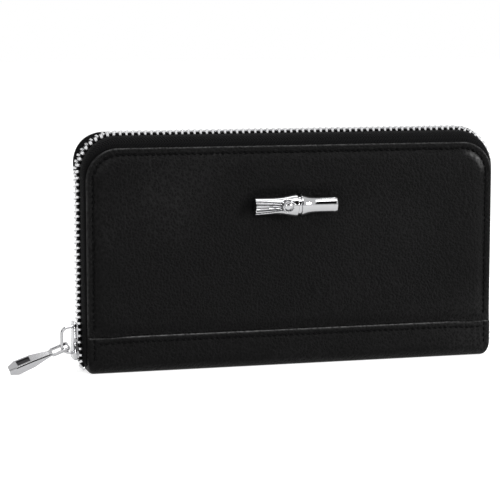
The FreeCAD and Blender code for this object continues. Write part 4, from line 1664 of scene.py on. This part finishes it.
@dataclass
class PullBar:
    """Slotted ring that widens into a heavy bevelled bar with a shallow recess."""

    sizes: WalletSizes
    finishes: Finishes
    pivot_out: float = 4.9
    pivot_up: float = 11.6
    droop: float = 21.0
    roll: float = 26.0
    ring: tuple[float, float] = (2.1, 0.7)
    ring_bar: float = 0.42
    ring_span: tuple[float, float] = (0.25, -7.6)
    stations: tuple[Point, ...] = (
        (-7.3, 3.9, 1.5), (-9.0, 3.9, 1.6), (-16.6, 5.7, 3.8), (-24.2, 6.0, 4.2),
        (-27.4, 3.9, 2.7))
    recess_from: float = 17.4
    chamfer: float = 0.5

    def build(self) -> None:
        """Make the pull where it rests."""
        bm = self.bar()
        self.sink(bm)
        soften(bm, 0.1, 1)
        absorb(bm, self.loop())
        swing = Matrix.Rotation(math.radians(-self.droop), 4, "Y")
        twist = Matrix.Rotation(math.radians(self.roll), 4, "X")
        pivot = (-self.sizes.chain_half - self.pivot_out, 0, self.pivot_up)
        bmesh.ops.transform(bm, matrix=Matrix.Translation(pivot) @ swing @ twist, verts=bm.verts)
        settle(bm, "slider_pull_bar", Dress(self.finishes.slider, "polished_metal", "zip_pull",
                                            ("pull_bar",), smooth=16.0,
                                            second=self.finishes.recess))

    def bar(self) -> bmesh.types.BMesh:
        """Loft the bar through its stations and chamfer its long edges.

        Returns:
            The bar.
        """
        bm = block((1, 1, 1), (0, 0, 0))

        def shape(verts: Iterable[bmesh.types.BMVert], station: Point) -> None:
            """Move the four corners of a section to a station.

            Args:
                verts: The corners.
                station: X, width and thickness there.
            """
            x, wide, thick = station
            for vert in verts:
                vert.co = Vector((x, math.copysign(wide / 2, vert.co.y),
                                  math.copysign(thick / 2, vert.co.z)))

        near, far = (sorted(bm.verts, key=lambda vert: sign * vert.co.x)[:4] for sign in (-1, 1))
        shape(near, self.stations[0])
        shape(far, self.stations[1])
        tip = min(bm.faces, key=lambda face: face.calc_center_median().x)
        for station in self.stations[2:]:
            tip = bmesh.ops.extrude_discrete_faces(bm, faces=[tip])["faces"][0]
            shape(tip.verts, station)
        bmesh.ops.recalc_face_normals(bm, faces=bm.faces)
        long_edges = [edge for edge in bm.edges
                      if abs(edge.verts[0].co.x - edge.verts[1].co.x) > 1.0]
        soften(bm, self.chamfer, 1, long_edges)
        return bm

    def sink(self, bm: bmesh.types.BMesh) -> None:
        """Sink the oblong recess into both broad faces near the far end.

        Args:
            bm: The bar.
        """
        for sign in (1, -1):
            face = max((item for item in bm.faces if item.normal.z * sign > 0.9
                        and item.calc_center_median().x < -self.recess_from),
                       key=lambda item: item.calc_area())
            bmesh.ops.inset_region(bm, faces=[face], thickness=0.85, depth=0.0,
                                   use_even_offset=True)
            sides = bmesh.ops.inset_region(bm, faces=[face], thickness=0.08, depth=-0.45,
                                           use_even_offset=True)["faces"]
            for item in (face, *sides):
                item.material_index = 1

    def loop(self) -> bmesh.types.BMesh:
        """Bend the flat ring round the slot, its near end straight across.

        Returns:
            The ring.
        """
        near, far = self.ring_span
        half = self.ring[0]
        bend, cut = 0.9, 0.4
        path = [(near - bend + bend * math.cos(a), half - bend + bend * math.sin(a))
                for a in steps(math.pi / 2, 0.0, 0.4)]
        path += [(x, -y) for x, y in reversed(path)]
        path += [(far + cut, -half), (far, cut - half), (far, half - cut), (far + cut, half)]
        section = [(b, -a) for a, b in bar_section(self.ring_bar, self.ring[1])]
        bm = bmesh.new()
        sweep(bm, section, path_frames([Vector((x, y, 0)) for x, y in path], Vector((0, 0, 1)),
                                       closed=True), closed=True)
        return bm


# ---------------------------------------------------------------- ornament


@dataclass
class BarOrnament:
    """Cast bar shaped like a short cane with one node and a carved left end."""

    finishes: Finishes
    middle: Point = (-0.7, -13.6, 71.75)
    half: float = 19.0
    seat: float = 2.6
    boss_at: float = -4.6
    boss: float = 2.35
    grooves: tuple[float, ...] = (-0.8, -0.48, -0.16, 0.2, 0.58)
    groove_depth: float = 0.42
    ring_depth: float = 0.5

    def radius(self, x: float) -> float:
        """Radius of the cane.

        Args:
            x: Place along the bar from its middle.

        Returns:
            The radius there.
        """
        if x < 0.55:
            swell = 1.45 * bell(x - 0.3, 5.2)
            body = 3.95 + 0.2 * (x / self.half) ** 2
            end = 0.45 * max(0.0, (abs(x) - self.half + 0.5) / 0.5) ** 2
        else:
            swell = 1.5 * bell(x - 1.6, 4.6)
            body = 3.62 + 0.14 * (x / self.half) ** 2
            end = 0.5 * max(0.0, (x - self.half + 0.6) / 0.6) ** 2
        node = 0.6 * math.exp(-(((x - 1.15) / 0.8) ** 6))
        lip = 0.12 * bell(x - 17.6, 0.35)
        return body + swell - node - end + lip

    def build(self) -> None:
        """Make the bar with its boss."""
        xs = steps(-self.half, 0.0, 0.3) + steps(0.0, 2.4, 0.15)[1:]
        xs += steps(2.4, self.half, 0.45)[1:]
        bm = lathe([(x, 0, self.radius(x)) for x in xs], (1, 0, 0), 160)
        self.carve(bm)
        close_ends(bm)
        for vert in bm.verts:
            vert.co.y = min(vert.co.y, self.seat)
        absorb(bm, self.round_boss())
        bmesh.ops.translate(bm, vec=self.middle, verts=bm.verts)
        settle(bm, "cane_bar", Dress(self.finishes.chrome, "polished_metal", "front_half",
                                     ("bamboo_bar",), smooth=38.0, second=self.finishes.recess))

    def cuts(self, place: Vector) -> tuple[float, float]:
        """Strength of what is cut into the bar at a place.

        Args:
            place: Point of the bar, from its middle.

        Returns:
            Strength of the grooves and of the ring round the boss.
        """
        x, y, z = place
        if x > self.boss_at + 3.5 or y > 0.5:
            return 0.0, 0.0
        along = (x + self.half) / (self.boss_at + self.half)
        spread = 3.9 + (1.7 - 3.9) * min(1.0, max(0.0, along)) ** 1.6
        lines = sum(bell(z - share * spread, 0.21) for share in self.grooves)
        ring = bell(math.hypot(x - self.boss_at, z) - self.boss - 0.3, 0.25)
        front = ease((0.9 - y) / 1.4)
        return min(1.0, lines) * ease((1.05 - along) / 0.2) * front, ring * front

    def carve(self, bm: bmesh.types.BMesh) -> None:
        """Cut the grooves that run from the left end to the boss, and darken them.

        Args:
            bm: The bar about its middle.
        """
        for face in bm.faces:
            if self.cuts(face.calc_center_median())[0] > 0.5:
                face.material_index = 1
        for vert in bm.verts:
            lines, ring = self.cuts(vert.co)
            depth = self.groove_depth * lines + self.ring_depth * ring
            scale = 1 - depth / max(1.0, math.hypot(vert.co.y, vert.co.z))
            vert.co.y *= scale
            vert.co.z *= scale
            if vert.co.x < -self.half + 0.3:
                vert.co.x += 0.9 * lines

    def round_boss(self) -> bmesh.types.BMesh:
        """Turn the bare round disc with its raised rim, facing the front.

        Returns:
            The disc.
        """
        profile = [(0.0, -5.0), (0.5, -4.94), (0.6, -4.8), (0.68, -4.5), (0.78, -5.1),
                   (0.88, -5.15), (1.0, -4.9), (1.0, -3.0)]
        bm = lathe([(self.boss * share, y, 0) for share, y in profile], (0, 1, 0), 32)
        close_ends(bm)
        bmesh.ops.translate(bm, vec=(self.boss_at, 0, 0), verts=bm.verts)
        return bm


# ---------------------------------------------------------------- inside


@dataclass
class Leaf:
    """Thin leather leaf inside the wallet with a turned and sewn upper edge."""

    node: str
    body: str
    sizes: WalletSizes
    finishes: Finishes
    corner: float = 4.0
    seam: float = 1.6
    bead: float = 0.1

    def build(self) -> None:
        """Replace the leaf's node by a creased leaf and sew its upper edge."""
        low, high = (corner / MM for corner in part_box(self.node))
        front = low.y < 0
        thick = high.y - low.y
        face = high.y if front else -low.y
        half, foot, top = high.x, low.z, high.z
        edge = [0.0, 0.15, 0.4, 0.8, 1.2, 1.5, 1.7, 2.1, 2.8, self.corner]
        xs = mirrored([value - half for value in edge] + steps(self.corner - half, 0, 3.0)[1:-1])
        zs = steps(foot, top - self.corner, 5.0)[:-1] + [top - value for value in reversed(edge)]

        def place(x: float, z: float) -> Vector:
            """Round the corners and crease the edge.

            Args:
                x: Place across the leaf.
                z: Place up the leaf.

            Returns:
                The point.
            """
            x, z = round_corner(x, z, half, top, self.corner)
            crease = 0.07 * bell(top - z - self.seam, 0.35)
            return Vector((x, face + self.bead * bell(top - z, 0.8) - crease, z))

        bm = chart_grid(xs, zs, place)
        close_back(bm, (face - thick,))
        if not front:
            half_turn(bm)
        settle(bm, f"{self.node}_leaf", Dress(self.finishes.pocket, "pocket_leather", self.body,
                                              (self.node,), smooth=60.0))
        turn = Matrix.Identity(4) if front else Matrix.Rotation(math.pi, 4, "Z")
        count = int((half - self.corner) / self.sizes.stitch)
        frames = [turn @ Stitch().frame(
            Vector(((k + 0.5) * self.sizes.stitch, face + 0.02, top - self.seam)),
            Vector((1, 0, 0)), Vector((0, 1, 0))) for k in range(-count, count)]
        sew(f"{self.node}_stitches", frames, self.finishes, "pocket_leather", self.body)


@dataclass
class Inside:
    """Linings, card pockets, dividers and gussets."""

    sizes: WalletSizes
    finishes: Finishes
    page: float = 3.03
    margin: float = 5.0
    cloth: float = 0.22
    sag: float = 2.5
    sag_tall: float = 12.0

    def build(self) -> None:
        """Dress what shows when the wallet opens."""
        for side in Side:
            for level in range(1, 5):
                Leaf(f"{side.value}_card_pocket_{level}", side.body, self.sizes,
                     self.finishes).build()
            Leaf(f"{side.value}_divider", f"divider_{side.value}", self.sizes, self.finishes,
                 corner=5.0).build()
        for name, sign in (("left_gusset", -1.0), ("right_gusset", 1.0)):
            self.gusset(name, sign)
        plain = {self.finishes.lining: ("back_lining", "front_lining", "spine_lining"),
                 self.finishes.board: ("back_board", "front_board", "spine_board"),
                 self.finishes.steel: ("bamboo_post_left", "bamboo_post_right",
                                       "bamboo_backing_plate")}
        for material, nodes in plain.items():
            for node in nodes:
                dress_node(node, material)

    def folds(self, outer: float, inner: float, wall: float) -> list[tuple[float, float]]:
        """Line of a gusset's folds, seen from above.

        Args:
            outer: Distance of the outer folds from the wallet's middle.
            inner: Distance of the inner folds.
            wall: Y at which the gusset meets the halves.

        Returns:
            Points of the softened zigzag, as distance and Y.
        """
        half = [(outer - self.margin, wall), (outer, (wall + self.page) / 2), (inner, self.page),
                (outer, self.page / 2), (inner, 0.0)]
        sharp = half + [(x, -y) for x, y in reversed(half[:-1])]
        points = [(x0 + (x1 - x0) * k / 6, y0 + (y1 - y0) * k / 6)
                  for (x0, y0), (x1, y1) in zip(sharp, sharp[1:]) for k in range(6)]
        points.append(sharp[-1])
        soft = [tuple((a + 2 * b + c) / 4 for a, b, c in zip(*trio))
                for trio in zip(points, points[1:], points[2:])]
        return [points[0], *soft, points[-1]]

    def gusset(self, node: str, sign: float) -> None:
        """Hang the accordion of cloth between the halves.

        Args:
            node: Name of the gusset's node.
            sign: -1 for the left, 1 for the right.
        """
        low, high = (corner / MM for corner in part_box(node))
        outer = max(abs(low.x), abs(high.x))
        inner = min(abs(low.x), abs(high.x))
        wall = high.y
        soft = self.folds(outer, inner, wall)
        length = [0.0]
        for one, two in zip(soft, soft[1:]):
            length.append(length[-1] + math.dist(one, two))
        lookup = dict(zip(length, soft))
        zs = steps(low.z, high.z, 3.0)

        def place(run: float, z: float) -> Vector:
            """Point of the folded cloth, its top sagging between the pages.

            Args:
                run: Distance along the folds.
                z: Height.

            Returns:
                The point.
            """
            x, y = lookup[run]
            near = ease((z - high.z + self.sag_tall) / self.sag_tall)
            return Vector((sign * x, y, z - self.sag * near * ease((x - inner) / (outer - inner))))

        bm = chart_grid(length, zs, place)
        thicken(bm, self.cloth)
        piece = settle(bm, f"{node}_cloth", Dress(self.finishes.lining, "lining_fabric", None,
                                                  (node,), smooth=60.0))
        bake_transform(piece)


def dress_node(node: str, material: bpy.types.Material) -> None:
    """Give a carried-over node its material.

    Args:
        node: Name of the node.
        material: Its material.
    """
    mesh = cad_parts[node].data
    mesh.materials.clear()
    mesh.materials.append(material)
    log.info("%s: dressed", node)


@dataclass
class CoinPocket:
    """Middle pocket with its small zip."""

    sizes: WalletSizes
    finishes: Finishes
    chain: float = 88.0
    half: float = 66.0
    pitch: float = 2.0
    root: float = 2.0
    reach: float = 0.6
    tall: float = 1.8
    tooth: float = 0.85
    margin: float = 4.0
    pivot: Point = (-60.7, 0.0, 90.85)

    def build(self) -> None:
        """Dress the walls and make the small zip."""
        for node in ("front_coin_wall", "back_coin_wall"):
            dress_node(node, self.finishes.lining)
        dress_node("coin_binding", self.finishes.pocket)
        for node in ("front_coin_tape", "back_coin_tape"):
            dress_node(node, self.finishes.fine_tape)
        for side in Side:
            bm = self.row()
            if side is Side.BACK:
                half_turn(bm)
            settle(bm, f"{side.value}_coin_row",
                   Dress(self.finishes.teeth, "zip_metal", "coin_pocket",
                         (f"{side.value}_coin_teeth",), smooth=35.0))
        self.stops()
        self.plates()
        self.loop()
        self.pull()

    def row(self) -> bmesh.types.BMesh:
        """Set the small teeth of the front row.

        Returns:
            The row.
        """
        long = self.root + self.reach
        bm = block((self.tooth, long, self.tall), (0, -self.root + long / 2, 0))
        soften(bm, 0.2, 1)
        count = int((self.half - self.margin - self.tooth) / self.pitch)
        return repeat(bm, [Matrix.Translation(((k + 0.25) * self.pitch, 0, self.chain))
                           for k in range(-count, count)])

    def stops(self) -> None:
        """Crimped stops at both ends."""
        for name in ("coin_stop_left", "coin_stop_right"):
            low, high = (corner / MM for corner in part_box(name))
            bm = block(high - low, (low + high) / 2)
            soften(bm, 0.35, 2)
            settle(bm, f"{name}_clamp", Dress(self.finishes.teeth, "zip_metal", "coin_pocket",
                                              (name,), smooth=30.0))

    def spot(self, y: float, x: float, up: float) -> Vector:
        """Point at a distance along the coin chain and above it."""
        return Vector((x - self.half, y, self.chain + up))

    def plates(self) -> None:
        """Join the slider's two rounded plates by their post."""
        half = [(1.5, 0.0), (2.2, 0.8), (2.2, 3.4), (1.7, 5.0), (1.7, 7.2), (1.0, 8.0)]
        outline = half + [(-y, x) for y, x in reversed(half)]
        whole = bmesh.new()
        for low, high in ((1.2, 2.0), (-2.0, -1.2)):
            part = outline_plate(outline, low, high, self.spot)
            soften(part, 0.22, 2)
            absorb(whole, part)
        post = [(-0.4, 0.15), (0.4, 0.15), (0.3, 1.35), (-0.3, 1.35)]
        absorb(whole, outline_plate(post, -1.3, 1.3, self.spot))
        settle(whole, "coin_slider_plates", Dress(self.finishes.chrome, "polished_metal",
                                                  "coin_slider", ("coin_slider_body",),
                                                  smooth=30.0))

    def loop(self) -> None:
        """Bend the strap that holds the small pull."""
        path = [(1.95, 1.9), (1.95, 3.4), (2.35, 4.05), (5.85, 4.05), (6.25, 3.4), (6.25, 1.9)]
        frames = path_frames([self.spot(0, x, up) for x, up in path], Vector((0, 1, 0)))
        loop = bmesh.new()
        sweep(loop, [(-0.7, -0.3), (0.7, -0.3), (0.7, 0.3), (-0.7, 0.3)], frames)
        soften(loop, 0.12, 1)
        settle(loop, "coin_slider_loop", Dress(self.finishes.chrome, "polished_metal",
                                               "coin_slider", ("coin_slider_bridge",),
                                               smooth=30.0))

    def pull(self) -> None:
        """Small plain pull with a slotted end."""
        bm = bmesh.new()
        bars = (((-0.35, -1.75), (0.35, 1.75)), ((-0.35, 1.05), (4.7, 1.75)),
                ((-0.35, -1.75), (4.7, -1.05)), ((4.2, -1.75), (11.0, 1.75)))
        for (x0, y0), (x1, y1) in bars:
            part = block((x1 - x0, y1 - y0, 0.7), ((x0 + x1) / 2, (y0 + y1) / 2, 0))
            soften(part, 0.16, 2)
            absorb(bm, part)
        bmesh.ops.translate(bm, vec=self.pivot, verts=bm.verts)
        settle(bm, "coin_pull_tab", Dress(self.finishes.chrome, "polished_metal", "coin_pull",
                                          ("coin_pull",), smooth=30.0))


# ---------------------------------------------------------------- studio


@dataclass
class Studio:
    """Floor, dark wall for reflections, lamps, world and camera."""

    lens: float = 132.1
    yaw: float = 15.56
    pitch: float = 7.11
    target: Point = (-0.0175, 0.0, 0.0509)
    distance: float = 0.816
    room_far: float = 2.2
    room_levels: tuple[float, float] = (12.0, 54.0)
    room_sides: tuple[float, float] = (-80.0, 32.0)
    floor_seen: float = 0.77
    floor_mirrored: float = 0.55
    daylight: float = 0.45

    def build(self) -> None:
        """Set up everything round the wallet."""
        self.floor()
        self.dark_room()
        self.lamps()
        self.world()
        self.camera()
        bpy.context.scene.view_settings.view_transform = "Standard"

    def add(self, bm: bmesh.types.BMesh, name: str,
            material: bpy.types.Material) -> bpy.types.Object:
        """Put a piece of the studio into the scene.

        Args:
            bm: Its mesh in metres; it is freed.
            name: Its name.
            material: Its material.

        Returns:
            The object.
        """
        mesh = bpy.data.meshes.new(name)
        bm.to_mesh(mesh)
        bm.free()
        mesh.materials.append(material)
        piece = bpy.data.objects.new(name, mesh)
        bpy.context.scene.collection.objects.link(piece)
        return piece

    def floor(self) -> None:
        """Pale floor that stays white and keeps the wallet's shadow."""
        shader = Shader("pale_floor")
        mirrored_rays = shader.ray("Glossy") + shader.ray("Transmission")
        glow = shader.ray("Camera") * self.floor_seen + mirrored_rays * self.floor_mirrored
        bm = bmesh.new()
        bmesh.ops.create_grid(bm, x_segments=1, y_segments=1, size=6.0)
        self.add(bm, "floor", shader.finish((0.6, 0.6, 0.6), 0.9, Emission_Color=glow,
                                            Emission_Strength=1.0, Specular_IOR_Level=0.0))

    def dark_room(self) -> None:
        """Dark side of the studio, out of sight, that polished surfaces mirror."""
        bm = bmesh.new()
        left, right = (math.radians(value) for value in self.room_sides)
        verts = [bm.verts.new((0.0, -self.room_far, self.room_far * math.tan(math.radians(level))))
                 for level in self.room_levels]
        edge = bm.edges.new(verts)
        bmesh.ops.rotate(bm, cent=(0, 0, 0), verts=verts, matrix=Matrix.Rotation(left, 3, "Z"))
        bmesh.ops.spin(bm, geom=[*verts, edge], cent=(0, 0, 0), axis=(0, 0, 1),
                       angle=right - left, steps=32)
        room = self.add(bm, "dark_room", Shader("dark_cloth").finish(
            (0.01, 0.01, 0.01), 0.9, Specular_IOR_Level=0.0))
        room.visible_camera = False
        room.visible_shadow = False
        room.visible_diffuse = False

    def lamps(self) -> None:
        """Large soft lamps at a plain level."""
        for name, place, wide, tall, power in (
                ("key", (0.1, -0.85, 1.5), 1.5, 0.6, 19.0),
                ("front", (-0.3, -1.65, 0.45), 0.12, 0.35, 2.5),
                ("side", (1.25, -1.05, 0.5), 0.12, 0.4, 12.0),
                ("fill", (-1.1, -1.0, 0.9), 0.6, 0.6, 1.5),
                ("top", (0.1, 0.5, 1.5), 0.9, 0.9, 7.0)):
            lamp = bpy.data.lights.new(name, "AREA")
            lamp.shape = "RECTANGLE"
            lamp.size = wide
            lamp.size_y = tall
            lamp.energy = power
            holder = bpy.data.objects.new(name, lamp)
            holder.location = place
            aim = Vector((0.0, 0.0, 0.05)) - Vector(place)
            holder.rotation_euler = aim.to_track_quat("-Z", "Y").to_euler()
            bpy.context.scene.collection.objects.link(holder)

    def world(self) -> None:
        """White where it is seen or mirrored, plain where it lights."""
        world = bpy.data.worlds.new("studio")
        bpy.context.scene.world = world
        world.use_nodes = True
        nodes = Nodes(world.node_tree)
        seen = nodes.ray("Camera") + nodes.ray("Glossy") + nodes.ray("Transmission")
        strength = self.daylight + (1.0 - self.daylight) * seen.math("MINIMUM", 1.0)
        back = nodes.add("ShaderNodeBackground", {},
                         {"Color": (1.0, 1.0, 1.0, 1.0), "Strength": strength})
        nodes.node("ShaderNodeOutputWorld", {}, {"Surface": back})

    def camera(self) -> None:
        """Camera from the front left, a little above."""
        data = bpy.data.cameras.new("camera")
        data.sensor_width = 36.0
        data.lens = self.lens
        camera = bpy.data.objects.new("camera", data)
        yaw, pitch = math.radians(self.yaw), math.radians(self.pitch)
        forward = Vector((math.sin(yaw) * math.cos(pitch), math.cos(yaw) * math.cos(pitch),
                          -math.sin(pitch)))
        camera.location = Vector(self.target) - forward * self.distance
        camera.rotation_euler = forward.to_track_quat("-Z", "Y").to_euler()
        bpy.context.scene.collection.objects.link(camera)
        bpy.context.scene.camera = camera


def main() -> None:
    """Build every sub-assembly in order."""
    logging.basicConfig(level=logging.INFO, format="%(message)s")
    sizes = WalletSizes.from_frame()
    finishes = Finishes()
    for side in Side:
        Cover(side, sizes, finishes).build()
        ZipHalf(side, sizes, finishes).build()
    BaseBand(sizes, finishes).build()
    MainSlider(sizes, finishes).build()
    PullBar(sizes, finishes).build()
    BarOrnament(finishes).build()
    Inside(sizes, finishes).build()
    CoinPocket(sizes, finishes).build()
    Studio().build()


if __name__ == "__main__":
    main()
